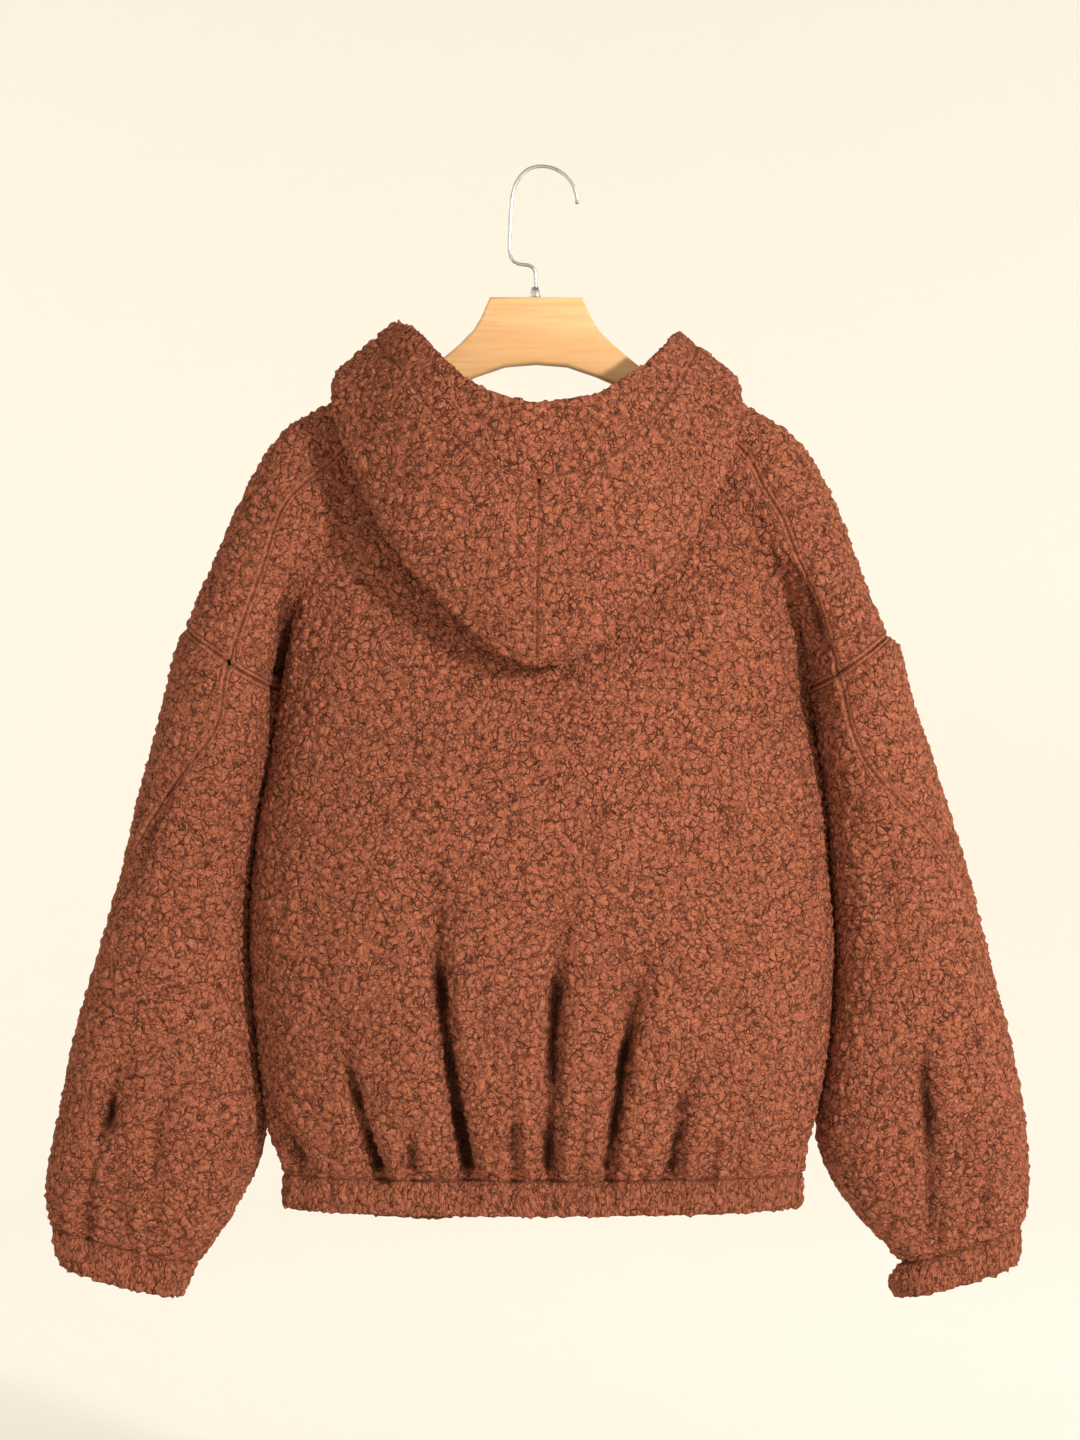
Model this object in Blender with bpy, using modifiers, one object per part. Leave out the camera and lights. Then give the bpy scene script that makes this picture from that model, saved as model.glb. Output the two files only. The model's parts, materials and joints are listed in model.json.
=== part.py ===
"""Hooded sherpa jacket hung by a wooden hanger, back towards -Y.

World units are metres, +Z up, +X to the wearer's right, origin at the inside top of the hanger's hook.
The tables are in millimetres: x sideways, y towards the wearer's front, drop downwards from the origin.
The whole jacket is one skin of rings, from the neck to the hem, cuffs and hood. Each cut piece is a
patch of that skin with its own wall, and it stops short of its seams.
"""
import math
from collections import namedtuple

import bmesh
import bpy
import numpy as np
from mathutils import Vector

MM = 0.001
LEFT, RIGHT = -1, 1
BACK, FRONT = -1, 1

# driving sizes
WALL = 5.0                  # sherpa with its pile
SEAM_GAP = 0.3
ZIP_OPENING = 8.0           # between the two front edges
TORSO_SQUARENESS = 2.6
TORSO_ROUNDNESS = 0.55
STUB_SQUARENESS = 2.2
SLEEVE_SQUARENESS = 2.3
BLEND = 10.0                # rounding where shoulder and body meet
CREVICE_STARTS = 60.0       # rings hinged further out than this have a crevice
CREVICE_SEARCH = 14.0

# columns of the skin
FRONT_COLUMNS = 8
OUTER_COLUMNS = 9
STRIP_COLUMNS = 6
BACK_COLUMNS = 44

Outline = namedtuple("Outline", "drop left right")
OUTLINE = [                 # side edge of shoulders and sleeve heads
    Outline(150, 78, 78), Outline(155, 95, 93), Outline(167, 120, 117), Outline(179, 150, 146),
    Outline(189, 175, 166), Outline(204, 197, 190), Outline(220, 211, 207), Outline(236, 221, 217),
    Outline(267, 236, 232), Outline(298, 249, 243), Outline(329, 263, 254.5), Outline(362, 275, 267),
    Outline(420, 290, 288),
]

Body = namedtuple("Body", "drop left right back front")
BODY = [                    # half widths and half depths of the body alone
    Body(150, 76, 76, 8, 8), Body(155, 90, 90, 9, 9), Body(180, 146, 142, 15, 15),
    Body(205, 186, 180, 26, 26), Body(235, 206, 204, 38, 36), Body(265, 211, 210, 48, 44),
    Body(300, 208, 208, 58, 51), Body(340, 203, 206, 67, 58), Body(407, 203, 208, 76, 66),
    Body(438, 206, 212, 79, 69), Body(470, 211, 217, 81, 71), Body(501, 217, 221, 83, 73),
    Body(532, 221, 223, 85, 74), Body(563, 224, 225, 86, 75), Body(600, 225, 228, 86, 75),
    Body(657, 221, 226, 84, 74), Body(720, 215, 218, 77, 70), Body(751, 209, 211, 68, 62),
    Body(776, 203, 206, 54, 50), Body(783, 201, 205, 50, 47), Body(797, 202, 205, 51, 48),
    Body(812, 201, 204, 48, 45),
]

Stub = namedtuple("Stub", "drop left_in right_in depth floor")
STUB = [                    # sleeve heads that fold down beside the body, and the depth left at the crevice
    Stub(150, 40, 40, 9, 0), Stub(155, 45, 45, 11, 0), Stub(180, 66, 66, 18, 0), Stub(205, 90, 90, 26, 0),
    Stub(250, 125, 125, 36, 0), Stub(290, 152, 156, 46, 12), Stub(320, 174, 180, 53, 14),
    Stub(350, 190, 196, 58, 12), Stub(380, 200, 206, 61, 10), Stub(407, 206, 212, 63, 8),
    Stub(430, 207, 213, 63, 8),
]

Ring = namedtuple("Ring", "back bend_back front bend_front end_left end_right hinge crevice")
RINGS = [                   # neckline to underarm: drops at centre back and front, and at the side edge
    Ring(206, 2.2, 252, 1.7, 155, 155, 0, 66), Ring(219, 2.2, 266, 1.7, 167, 167, 0, 86),
    Ring(234, 2.2, 281, 1.7, 181, 181, 0, 110), Ring(250, 2.1, 297, 1.8, 196, 196, 10, 134),
    Ring(267, 2.0, 313, 1.8, 213, 213, 20, 150), Ring(285, 1.9, 329, 1.8, 233, 233, 40, 160),
    Ring(304, 1.8, 344, 1.7, 255, 255, 70, 168), Ring(325, 1.7, 358, 1.6, 280, 280, 100, 178),
    Ring(348, 1.5, 372, 1.5, 306, 307, 135, 188), Ring(373, 1.35, 387, 1.35, 334, 335, 170, 197),
    Ring(407, 1.15, 407, 1.15, 359, 365, 204, 204),
]

TORSO_ROWS = [430, 455, 482, 510, 538, 566, 594, 622, 650, 678, 704, 728, 748, 764, 776]
HEM_SEAM = 783
HEM_ROWS = [797, 810]

ShoulderSeam = namedtuple("ShoulderSeam", "drop left right")
SHOULDER_SEAM = [           # sideways place of the shoulder seam on the back
    ShoulderSeam(160, 80, 80), ShoulderSeam(200, 122, 118), ShoulderSeam(236, 163, 150),
    ShoulderSeam(254, 187, 172), ShoulderSeam(272, 199, 184), ShoulderSeam(290, 205, 190),
    ShoulderSeam(322, 214, 204), ShoulderSeam(347, 223, 214), ShoulderSeam(388, 236, 226),
]

SleeveEdge = namedtuple("SleeveEdge", "drop left_out right_out left_in right_in")
SLEEVE_EDGE = [
    SleeveEdge(362, 277, 271, 207, 213), SleeveEdge(376, 283, 279, 207, 213),
    SleeveEdge(407, 290.5, 287, 206, 212), SleeveEdge(438, 299, 298, 209, 215),
    SleeveEdge(470, 307, 309, 214, 220), SleeveEdge(501, 315.5, 318.5, 219.5, 224),
    SleeveEdge(532, 322.5, 328.5, 224, 226.5), SleeveEdge(563, 330, 338, 227, 228.5),
    SleeveEdge(595, 340.5, 345.5, 228.5, 231), SleeveEdge(626, 349.5, 353.5, 227.5, 230.5),
    SleeveEdge(657, 359, 362.5, 224.5, 229), SleeveEdge(688, 366.5, 369, 221, 225),
    SleeveEdge(720, 373, 376, 218, 221), SleeveEdge(751, 379.5, 380.5, 215, 217.5),
    SleeveEdge(778, 385, 382.5, 221, 223), SleeveEdge(806, 386.5, 382, 235, 239),
    SleeveEdge(832, 384.5, 377, 250, 261), SleeveEdge(859, 380, 375, 270, 288),
]

SleeveRing = namedtuple("SleeveRing", "out_drop in_drop half_depth shift head seam_left seam_right")
SLEEVE_RINGS = [            # head: share of the armhole's own shape; seams: degrees from outer edge to back
    SleeveRing(372, 418, 62, 1, 0.75, 99, 117), SleeveRing(390, 434, 61, 3, 0.45, 99, 115),
    SleeveRing(418, 458, 60, 5, 0.2, 94, 109), SleeveRing(454, 488, 58, 8, 0.05, 78, 96),
    SleeveRing(496, 524, 57, 10, 0, 56, 73), SleeveRing(540, 563, 56, 12, 0, 30, 46),
    SleeveRing(584, 604, 55, 12, 0, 10, 22), SleeveRing(628, 648, 54, 12, 0, -4, 4),
    SleeveRing(672, 694, 53, 12, 0, -13, -8), SleeveRing(714, 738, 51, 12, 0, -19, -16),
    SleeveRing(752, 776, 48, 12, 0, -24, -22), SleeveRing(784, 808, 43, 12, 0, -28, -27),
    SleeveRing(810, 836, 34, 12, 0, -31, -31), SleeveRing(826, 856, 25, 12, 0, -33, -34),
]
CuffRing = namedtuple("CuffRing", "out_left out_right out_drop in_x in_drop half_depth")
CUFF_RINGS = [CuffRing(382, 377, 843, 275, 871, 26), CuffRing(377, 373, 858, 279, 884, 24)]

Fold = namedtuple("Fold", "x0 drop0 x1 drop1 x2 drop2 depth width")
BACK_FOLDS = [              # troughs that run down into the gathered hem or along the sleeves
    Fold(-219, 692, -200, 735, -178, 783, 4, 7), Fold(-151, 655, -142, 707, -122, 783, 9, 10),
    Fold(-99, 735, -98, 760, -96, 783, 5, 6), Fold(-84, 505, -72, 667, -54, 783, 12, 12),
    Fold(-74, 740, -73, 765, -72, 783, 4, 5), Fold(-21, 712, -20, 750, -18, 783, 7, 8),
    Fold(20, 500, 10, 667, 6, 783, 8, 13), Fold(88, 560, 64, 681, 50, 783, 11, 12),
    Fold(126, 680, 109, 713, 99, 783, 8, 10), Fold(137, 730, 134, 760, 131, 783, 4, 7),
    Fold(-310, 640, -345, 780, -354, 835, 6, 14), Fold(293, 620, 296, 713, 305, 835, 7, 15),
    Fold(343, 770, 343, 800, 342, 835, 4, 8), Fold(-262, 440, -300, 515, -318, 560, 5, 9),
]
FRONT_FOLDS = [
    Fold(-150, 640, -140, 710, -120, 783, 8, 11), Fold(-60, 700, -62, 745, -58, 783, 6, 9),
    Fold(70, 590, 64, 690, 52, 783, 9, 12), Fold(128, 690, 118, 735, 106, 783, 7, 10),
    Fold(-300, 640, -318, 740, -325, 835, 6, 14), Fold(320, 650, 330, 740, 335, 835, 6, 14),
]
FRONT_HEM_SAG = 17.0        # the left front hangs lower
FRONT_HEM_SAG_X = -86.0
FRONT_HEM_SAG_WIDTH = 95.0
FRONT_ROW_SAG = 1.5         # dip of the left front's rows between zip and armhole

Station = namedtuple("Station", "neck bx by bd cx cy cd bow")
HOOD_LEFT = [               # place on the neckline, outer fold b, opening edge c; from back to centre front
    Station(0.10, 24, -99, 386, 19, -111, 191, 13), Station(0.20, 50, -97, 366, 42, -107, 183, 14),
    Station(0.30, 72, -94, 347, 58, -100, 172, 15), Station(0.40, 93, -89, 327, 73, -90, 158, 16),
    Station(0.50, 115, -80, 298, 86, -76, 143, 17), Station(0.60, 136, -68, 258, 96, -58, 132, 17),
    Station(0.70, 151, -57, 224, 104, -38, 126, 14), Station(0.80, 162, -38, 184, 110, -18, 122, 9),
    Station(0.90, 157, -18, 160, 114, 4, 121, 5), Station(1.05, 138, 12, 158, 110, 22, 126, 3),
    Station(1.22, 115, 33, 164, 99, 36, 141, 2), Station(1.42, 88, 45, 183, 80, 45, 162, 1),
    Station(1.65, 56, 51, 208, 56, 52, 189, 0), Station(1.98, 9, 51, 238, 11, 54, 223, 0),
]
HOOD_RIGHT = [
    Station(0.10, 22, -99, 389, 20, -111, 191, 13), Station(0.20, 42, -97, 376, 40, -107, 188, 14),
    Station(0.30, 64, -93, 358, 56, -99, 179, 15), Station(0.40, 88, -88, 331, 71, -89, 168, 16),
    Station(0.50, 110, -80, 304, 84, -76, 158, 17), Station(0.60, 130, -69, 269, 95, -58, 145, 17),
    Station(0.70, 147, -57, 230, 102, -38, 135, 14), Station(0.80, 157, -40, 186, 106, -18, 130, 9),
    Station(0.90, 151, -18, 163, 109, 4, 128, 5), Station(1.05, 134, 12, 159, 106, 22, 129, 3),
    Station(1.22, 112, 33, 162, 95, 36, 137, 2), Station(1.42, 87, 45, 182, 76, 44, 157, 1),
    Station(1.65, 56, 51, 207, 56, 52, 188, 0), Station(1.98, 9, 51, 238, 11, 54, 223, 0),
]
HOOD_CENTRE = Station(0.0, -3, -100, 395, 0, -112, 194, 12)
HOOD_ROWS = 15
HOOD_BAND_ROWS = 2          # casing along the opening edge
HOOD_CLEARANCE = 4.0        # between the hood and the shoulders it lies on

# hanger
HANGER_X = -3.0
HANGER_THICKNESS = 11.0
HANGER_ROUNDING = 3.0
HANGER_TOP = [(36, 101), (43, 117), (49, 127), (60, 138), (73, 149), (92, 164), (119, 177.3), (147, 190.3),
              (166, 200.3), (176, 207.3)]
HANGER_END = [(180, 213), (180, 219), (175, 222)]
HANGER_UNDER = [(166, 219), (147, 210), (119, 197), (92, 184), (60, 169), (46, 163), (24, 155.5)]
HANGER_ARCH = 153.5
HOOK_WIRE = 3.0
HOOK_ROUTE = [(-3.5, 100.6), (-3.5, 84), (-4.6, 78.4), (-9, 75.8), (-16, 75), (-21.4, 72), (-23.5, 66),
              (-23.5, 50), (-22.6, 32), (-20.4, 16), (-15, 6), (-7.5, 0.2), (1, -1.5), (10, 0), (19, 5),
              (25.5, 13), (28.5, 22), (29, 28)]
HOOK_POINTS = 44
FERRULE = [(1.9, 93.5), (3.1, 93.5), (4.4, 97.5), (4.6, 100.6), (1.9, 100.6)]

# zip
ZIP_TAPE = [(14, 0), (2.6, 0), (2.6, 1.6), (0.3, 1.6), (0.3, -1.6), (2.6, -1.6), (2.6, -1.2), (14, -1.2)]
ZIP_BEHIND = 0.6            # between the fronts' inner side and the tape
SLIDER_SIZE = (7.2, 3.6, 11.0)
SLIDER_DROP = 284.0
EAR_SIZE = (1.1, 3.4, 3.6)
EAR_SPACING = 2.6           # from the middle to the middle of each ear
PIVOT_UP = 1.5
PIVOT_OUT = 1.7
TAB_BARREL = (1.3, 3.4)     # radius and width
TAB_SIZE = (9.0, 1.4, 22.0)
TAB_LEAN = 0.5              # degrees further out than the cloth it rests on


def read(table, name, at):
    """Smooth value of one column of a table at a drop, held constant past its ends."""
    xs = np.array([row.drop for row in table], dtype=float)
    ys = np.array([getattr(row, name) for row in table], dtype=float)
    return hermite(xs, ys, np.asarray(at, dtype=float))


def hermite(xs, ys, at):
    steps = np.diff(xs)
    slopes = np.diff(ys) / steps
    tangents = np.empty_like(ys)
    tangents[0], tangents[-1] = slopes[0], slopes[-1]
    same_way = slopes[:-1] * slopes[1:] > 0
    mean = 2 * slopes[:-1] * slopes[1:] / np.where(same_way, slopes[:-1] + slopes[1:], 1)
    tangents[1:-1] = np.where(same_way, mean, 0)
    at = np.clip(at, xs[0], xs[-1])
    i = np.clip(np.searchsorted(xs, at, side="right") - 1, 0, len(steps) - 1)
    t = (at - xs[i]) / steps[i]
    return (ys[i] * (1 + 2 * t) * (1 - t) ** 2 + tangents[i] * steps[i] * t * (1 - t) ** 2
            + ys[i + 1] * t * t * (3 - 2 * t) + tangents[i + 1] * steps[i] * t * t * (t - 1))


def side_value(table, left_name, right_name, x, drop):
    return np.where(x < 0, read(table, left_name, drop), read(table, right_name, drop))


def fold_relief(folds, x, drop):
    """How far troughs push a surface in, at points given by x and drop."""
    total = np.zeros(np.broadcast(x, drop).shape)
    for f in folds:
        path = [(f.x0, f.drop0), (f.x1, f.drop1), (f.x2, f.drop2)]
        half = math.dist(path[0], path[1])
        length = half + math.dist(path[1], path[2])
        nearest = np.full(total.shape, 1e9)
        along = np.zeros(total.shape)
        for (ax, ad), (bx, bd), start in ((path[0], path[1], 0), (path[1], path[2], half)):
            run = math.hypot(bx - ax, bd - ad)
            t = np.clip(((x - ax) * (bx - ax) + (drop - ad) * (bd - ad)) / run ** 2, 0, 1)
            away = np.hypot(x - ax - t * (bx - ax), drop - ad - t * (bd - ad))
            closer = away < nearest
            nearest = np.where(closer, away, nearest)
            along = np.where(closer, (start + t * run) / length, along)
        fade = np.clip(along / 0.35, 0, 1)
        total += f.depth * fade * fade * (3 - 2 * fade) * np.exp(-(nearest / f.width) ** 2)
    return total


def body_depth(x, drop, face):
    """Half depth of body and sleeve heads together: how far the cloth lies from the middle plane."""
    width = side_value(BODY, "left", "right", x, drop)
    name = "back" if face == BACK else "front"
    t = np.clip(np.abs(x) / width, 0, 1)
    torso = read(BODY, name, drop) * (1 - t ** TORSO_SQUARENESS) ** TORSO_ROUNDNESS
    inner = side_value(STUB, "left_in", "right_in", x, drop)
    outer = side_value(OUTLINE, "left", "right", x, drop)
    centre = (inner + outer) / 2
    t = np.clip(np.abs(np.abs(x) - centre) / np.maximum(outer - centre, 1), 0, 1)
    stub = read(STUB, "depth", drop) * (1 - t ** STUB_SQUARENESS) ** 0.5
    high, low = np.maximum(torso, stub), np.minimum(torso, stub)
    blend = np.minimum(BLEND, 0.5 * (high + low)) + 1e-6
    near = np.clip(1 - (high - low) / blend, 0, 1)
    joined = high + near * near * blend / 4
    floor = np.where(np.abs(x) < centre, read(STUB, "floor", drop), 0)
    return np.maximum(joined, floor)


def torso_point(angle, drop):
    """Point of the body below the underarm; angle 0 is centre back, quarter turns are the side seams."""
    name = "back" if math.cos(angle) > 0 else "front"
    side = "right" if math.sin(angle) > 0 else "left"
    width, depth = float(read(BODY, side, drop)), float(read(BODY, name, drop))
    x = math.copysign(width * abs(math.sin(angle)) ** (2 / TORSO_SQUARENESS), math.sin(angle))
    y = depth * (1 - min(1, abs(x) / width) ** TORSO_SQUARENESS) ** TORSO_ROUNDNESS
    return np.array([x, -y if name == "back" else y, drop])


def resample(points, count):
    """count + 1 points evenly spaced along a dense line."""
    points = np.asarray(points)
    length = np.concatenate([[0], np.cumsum(np.linalg.norm(np.diff(points, axis=0), axis=1))])
    at = np.linspace(0, length[-1], count + 1)
    return np.stack([np.interp(at, length, points[:, k]) for k in range(3)], axis=1)


def yoke_line(ring, side, face, samples=400):
    """Dense line along one ring of the yoke, from the centre to the side edge."""
    end = ring.end_left if side == LEFT else ring.end_right
    edge = float(read(OUTLINE, "left" if side == LEFT else "right", end))
    middle = ring.back if face == BACK else ring.front
    bend = ring.bend_back if face == BACK else ring.bend_front
    spread = 1 - (1 - np.linspace(0, 1, samples)) ** 2
    x = edge * spread
    hinge = ring.hinge * float(side_value(BODY, "left", "right", side, end) / read(BODY, "left", end))
    t = np.clip((x - hinge) / (edge - hinge), 0, 1)
    drop = middle + (end - middle) * t ** bend
    if face == FRONT and side == LEFT:
        drop = drop + FRONT_ROW_SAG * np.sin(np.pi * np.clip(x / max(hinge, 1), 0, 1))
    folds = BACK_FOLDS if face == BACK else FRONT_FOLDS
    depth = body_depth(side * x, drop, face)
    depth = depth - fold_relief(folds, side * x, drop)
    depth[-1] = 0
    return np.stack([side * x, face * depth, drop], axis=1)


def trim_front(line):
    """Part of a dense front line outside the zip opening, ending exactly at the front edge."""
    x = np.abs(line[:, 0])
    limit = ZIP_OPENING / 2
    order = np.argsort(x)
    side = np.sign(line[order[-1], 0])
    y, drop = (np.interp(limit, x[order], line[order, k]) for k in (1, 2))
    edge = [[side * limit, y, drop]]
    kept = line[x > limit + 0.1]
    return np.concatenate([edge, kept] if x[0] < x[-1] else [kept, edge])


def crevice_index(line, ring):
    """Index of the crevice between body and sleeve head on a yoke line."""
    x, depth = np.abs(line[:, 0]), np.abs(line[:, 1])
    if ring.hinge < CREVICE_STARTS:
        return int(np.argmin(np.abs(x - ring.crevice)))
    near = np.where(np.abs(x - ring.crevice) < CREVICE_SEARCH)[0]
    bottom = near[depth[near] < depth[near].min() + 0.05]
    return int(bottom[len(bottom) // 2])


def seam_index(line, side, crevice):
    """Index of the shoulder seam on a back yoke line, kept outside the crevice."""
    x = np.abs(line[:, 0])
    seam = read(SHOULDER_SEAM, "left" if side == LEFT else "right", line[:, 2])
    crossing = int(np.argmin(np.abs(x - seam)))
    clear = int(np.argmin(np.abs(x - (x[crevice] + 13))))
    return max(crossing, clear)


class Skin:
    """Points and faces of the whole jacket; each face belongs to one cut piece."""

    def __init__(self):
        self.points = []
        self.faces = []
        self.pieces = []

    def add(self, points):
        first = len(self.points)
        self.points.extend(np.asarray(points, dtype=float))
        return list(range(first, len(self.points)))

    def bridge(self, upper, lower, names):
        """Faces between two rows of equal length; names gives the piece of each column."""
        for k, name in enumerate(names):
            self.face(name, upper[k], lower[k], lower[k + 1], upper[k + 1])

    def face(self, name, *corners):
        self.faces.append(corners)
        self.pieces.append(name)


def yoke_row(ring):
    """Row from the left front edge round the back to the right front edge, with its column marks."""
    parts = []
    for side in (LEFT, RIGHT):
        back = yoke_line(ring, side, BACK)
        front = trim_front(yoke_line(ring, side, FRONT))
        crevice = crevice_index(back, ring)
        crevice_front = crevice_index(front, ring)
        seam = seam_index(back, side, crevice)
        outer = np.concatenate([back[seam:], front[::-1][1:len(front) - crevice_front]])
        parts.append((
            resample(front[:crevice_front + 1][::-1], FRONT_COLUMNS)[::-1],
            resample(outer, OUTER_COLUMNS)[::-1],
            resample(back[crevice:seam + 1], STRIP_COLUMNS)[::-1],
            back[:crevice + 1],
        ))
    left, right = parts
    across = resample(np.concatenate([left[3][::-1], right[3][1:]]), BACK_COLUMNS)
    return np.concatenate([
        left[0], left[1][1:], left[2][1:], across[1:],
        right[2][::-1][1:], right[1][::-1][1:], right[0][::-1][1:],
    ])


def torso_row(drop):
    """Row of the body below the underarm, from the left front edge round the back to the right one."""
    dense = np.array([torso_point(angle, drop) for angle in np.linspace(-math.pi, math.pi, 1441)])
    x, y = dense[:, 0], dense[:, 1]
    for face, folds in ((BACK, BACK_FOLDS), (FRONT, FRONT_FOLDS)):
        mine = y * face > 0
        relief = fold_relief(folds, x, dense[:, 2])
        room = np.clip(np.abs(y) / 30, 0, 1)
        dense[:, 1] -= np.where(mine, face * relief * room, 0)
    sag = FRONT_HEM_SAG * np.exp(-((np.minimum(x, 0) - FRONT_HEM_SAG_X) / FRONT_HEM_SAG_WIDTH) ** 2)
    sag *= np.exp(-(np.maximum(x, 0) / FRONT_HEM_SAG_WIDTH) ** 2)
    lower = np.clip((drop - TORSO_ROWS[0]) / (HEM_SEAM - TORSO_ROWS[0]), 0, 1) ** 2
    dense[:, 2] += np.where(y > 0, sag * lower * np.clip(y / 30, 0, 1), 0)
    quarter = 360
    left_front = trim_front(dense[:quarter + 1])
    across = dense[quarter:3 * quarter + 1]
    right_front = trim_front(dense[3 * quarter:])
    return np.concatenate([
        resample(left_front, FRONT_COLUMNS), resample(across, BACK_COLUMNS)[1:],
        resample(right_front, FRONT_COLUMNS)[1:],
    ])


def column_names(left, right, back, sleeves):
    names = [left] * FRONT_COLUMNS
    if sleeves:
        names += [left] * OUTER_COLUMNS + [back] * STRIP_COLUMNS
    names += [back] * BACK_COLUMNS
    if sleeves:
        names += [back] * STRIP_COLUMNS + [right] * OUTER_COLUMNS
    return names + [right] * FRONT_COLUMNS


def build_body(skin):
    """Yoke, body and hem casing. Returns the neckline row and each side's armhole loop."""
    rows = [skin.add(yoke_row(ring)) for ring in RINGS]
    names = column_names("front_left", "front_right", "back", True)
    for upper, lower in zip(rows, rows[1:]):
        skin.bridge(upper, lower, names)
    last = rows[-1]
    a = FRONT_COLUMNS
    b = a + OUTER_COLUMNS
    c = b + STRIP_COLUMNS
    d = c + BACK_COLUMNS
    e = d + STRIP_COLUMNS
    f = e + OUTER_COLUMNS
    middles = {}
    for side, front_mark, back_mark in ((LEFT, last[a], last[c]), (RIGHT, last[f], last[d])):
        front_point, back_point = skin.points[front_mark], skin.points[back_mark]
        middle = (front_point + back_point) / 2
        middle[1] = 0
        middles[side] = skin.add([middle])[0]
    first_row = skin.add(torso_row(TORSO_ROWS[0]))
    left_part, across = first_row[:a + 1], first_row[a:a + BACK_COLUMNS + 1]
    right_part = first_row[a + BACK_COLUMNS:]
    skin.bridge(last[:a + 1], left_part, ["front_left"] * FRONT_COLUMNS)
    skin.bridge(last[c:d + 1], across, ["back"] * BACK_COLUMNS)
    skin.bridge(last[f:], right_part, ["front_right"] * FRONT_COLUMNS)
    skin.face("front_left", last[a], left_part[-1], middles[LEFT])
    skin.face("back", middles[LEFT], across[0], last[c])
    skin.face("back", last[d], across[-1], middles[RIGHT])
    skin.face("front_right", middles[RIGHT], right_part[0], last[f])
    upper = first_row
    names = column_names("front_left", "front_right", "back", False)
    for drop in TORSO_ROWS[1:] + [HEM_SEAM]:
        lower = skin.add(torso_row(drop))
        skin.bridge(upper, lower, names)
        upper = lower
    names = column_names("hem_front_left", "hem_front_right", "hem_back", False)
    for drop in HEM_ROWS:
        lower = skin.add(torso_row(drop))
        skin.bridge(upper, lower, names)
        upper = lower
    left_loop = last[a:c + 1] + [middles[LEFT]]
    right_loop = last[d:f + 1][::-1] + [middles[RIGHT]]
    return rows[0], left_loop, right_loop


def sleeve_ring(side, outer, inner, half_depth, shift, seam_angle, samples=720):
    """Dense closed ring from its inner point round by the front, and the index of its overarm seam."""
    outer = np.array([side * outer[0], shift, outer[1]], dtype=float)
    inner = np.array([side * inner[0], shift, inner[1]], dtype=float)
    centre, arm = (outer + inner) / 2, (outer - inner) / 2
    angle = np.linspace(math.pi, -math.pi, samples + 1)
    c, s = np.cos(angle), np.sin(angle)
    power = 2 / SLEEVE_SQUARENESS
    across = np.sign(c) * np.abs(c) ** power
    deep = np.sign(s) * np.abs(s) ** power
    ring = centre + across[:, None] * arm
    ring[:, 1] += half_depth * deep
    x, drop = ring[:, 0], ring[:, 2]
    ring[:, 1] += fold_relief(BACK_FOLDS, x, drop) * np.clip(-deep * 1.5, 0, 1)
    ring[:, 1] -= fold_relief(FRONT_FOLDS, x, drop) * np.clip(deep * 1.5, 0, 1)
    return ring, int(round((math.pi + math.radians(seam_angle)) / (2 * math.pi) * samples))


def keep_head(ring, head, share):
    """Ring with some of the armhole's own shape, fitted to the ring's place and width."""
    width = np.ptp(ring[:, 0]) / np.ptp(head[:, 0])
    height = np.ptp(ring[:, 2]) / np.ptp(head[:, 2])
    moved = ring[0] + (head - head[0]) * [width, 1, height]
    return ring * (1 - share) + moved * share


def build_sleeve(skin, side, loop, label):
    """Sleeve and cuff under an armhole loop that runs from the front crevice round to the underarm."""
    upper = [loop[-1]] + loop
    head = np.array([skin.points[k] for k in upper])
    front_columns, back_columns = OUTER_COLUMNS + 1, STRIP_COLUMNS + 1
    sleeve = [f"sleeve_{label}_front"] * front_columns + [f"sleeve_{label}_back"] * back_columns
    cuff = [f"cuff_{label}"] * len(sleeve)
    for row in SLEEVE_RINGS + CUFF_RINGS:
        if row in CUFF_RINGS:
            names, last, share = cuff, SLEEVE_RINGS[-1], 0
            outer, inner = (getattr(row, f"out_{label}"), row.out_drop), (row.in_x, row.in_drop)
        else:
            names, last, share = sleeve, row, row.head
            outer = (float(read(SLEEVE_EDGE, f"{label}_out", row.out_drop)), row.out_drop)
            inner = (float(read(SLEEVE_EDGE, f"{label}_in", row.in_drop)), row.in_drop)
        seam_angle = getattr(last, f"seam_{label}")
        dense, seam = sleeve_ring(side, outer, inner, row.half_depth, last.shift, seam_angle)
        ring = np.concatenate([
            resample(dense[:seam + 1], front_columns), resample(dense[seam:], back_columns)[1:],
        ])
        ring = keep_head(ring, head, share)
        first = skin.add(ring[:-1])
        lower = first + [first[0]]
        if side == LEFT:
            skin.bridge(upper, lower, names)
        else:
            skin.bridge(lower, upper, names)
        upper = lower


def neck_point(row, skin, turn):
    """Point on the neckline; turn 0 is centre back, 1 the shoulder, 2 centre front, negative to the left."""
    a = FRONT_COLUMNS + OUTER_COLUMNS + STRIP_COLUMNS
    centre = a + BACK_COLUMNS // 2
    points = np.array([skin.points[k] for k in row])
    half = points[:centre + 1][::-1] if turn <= 0 else points[centre:]
    length = np.concatenate([[0], np.cumsum(np.linalg.norm(np.diff(half, axis=0), axis=1))])
    top = length[int(np.argmin(half[:, 2]))]
    turn = abs(turn)
    at = top * turn if turn <= 1 else top + (length[-1] - top) * (turn - 1)
    return np.array([np.interp(at, length, half[:, k]) for k in range(3)])


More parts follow.
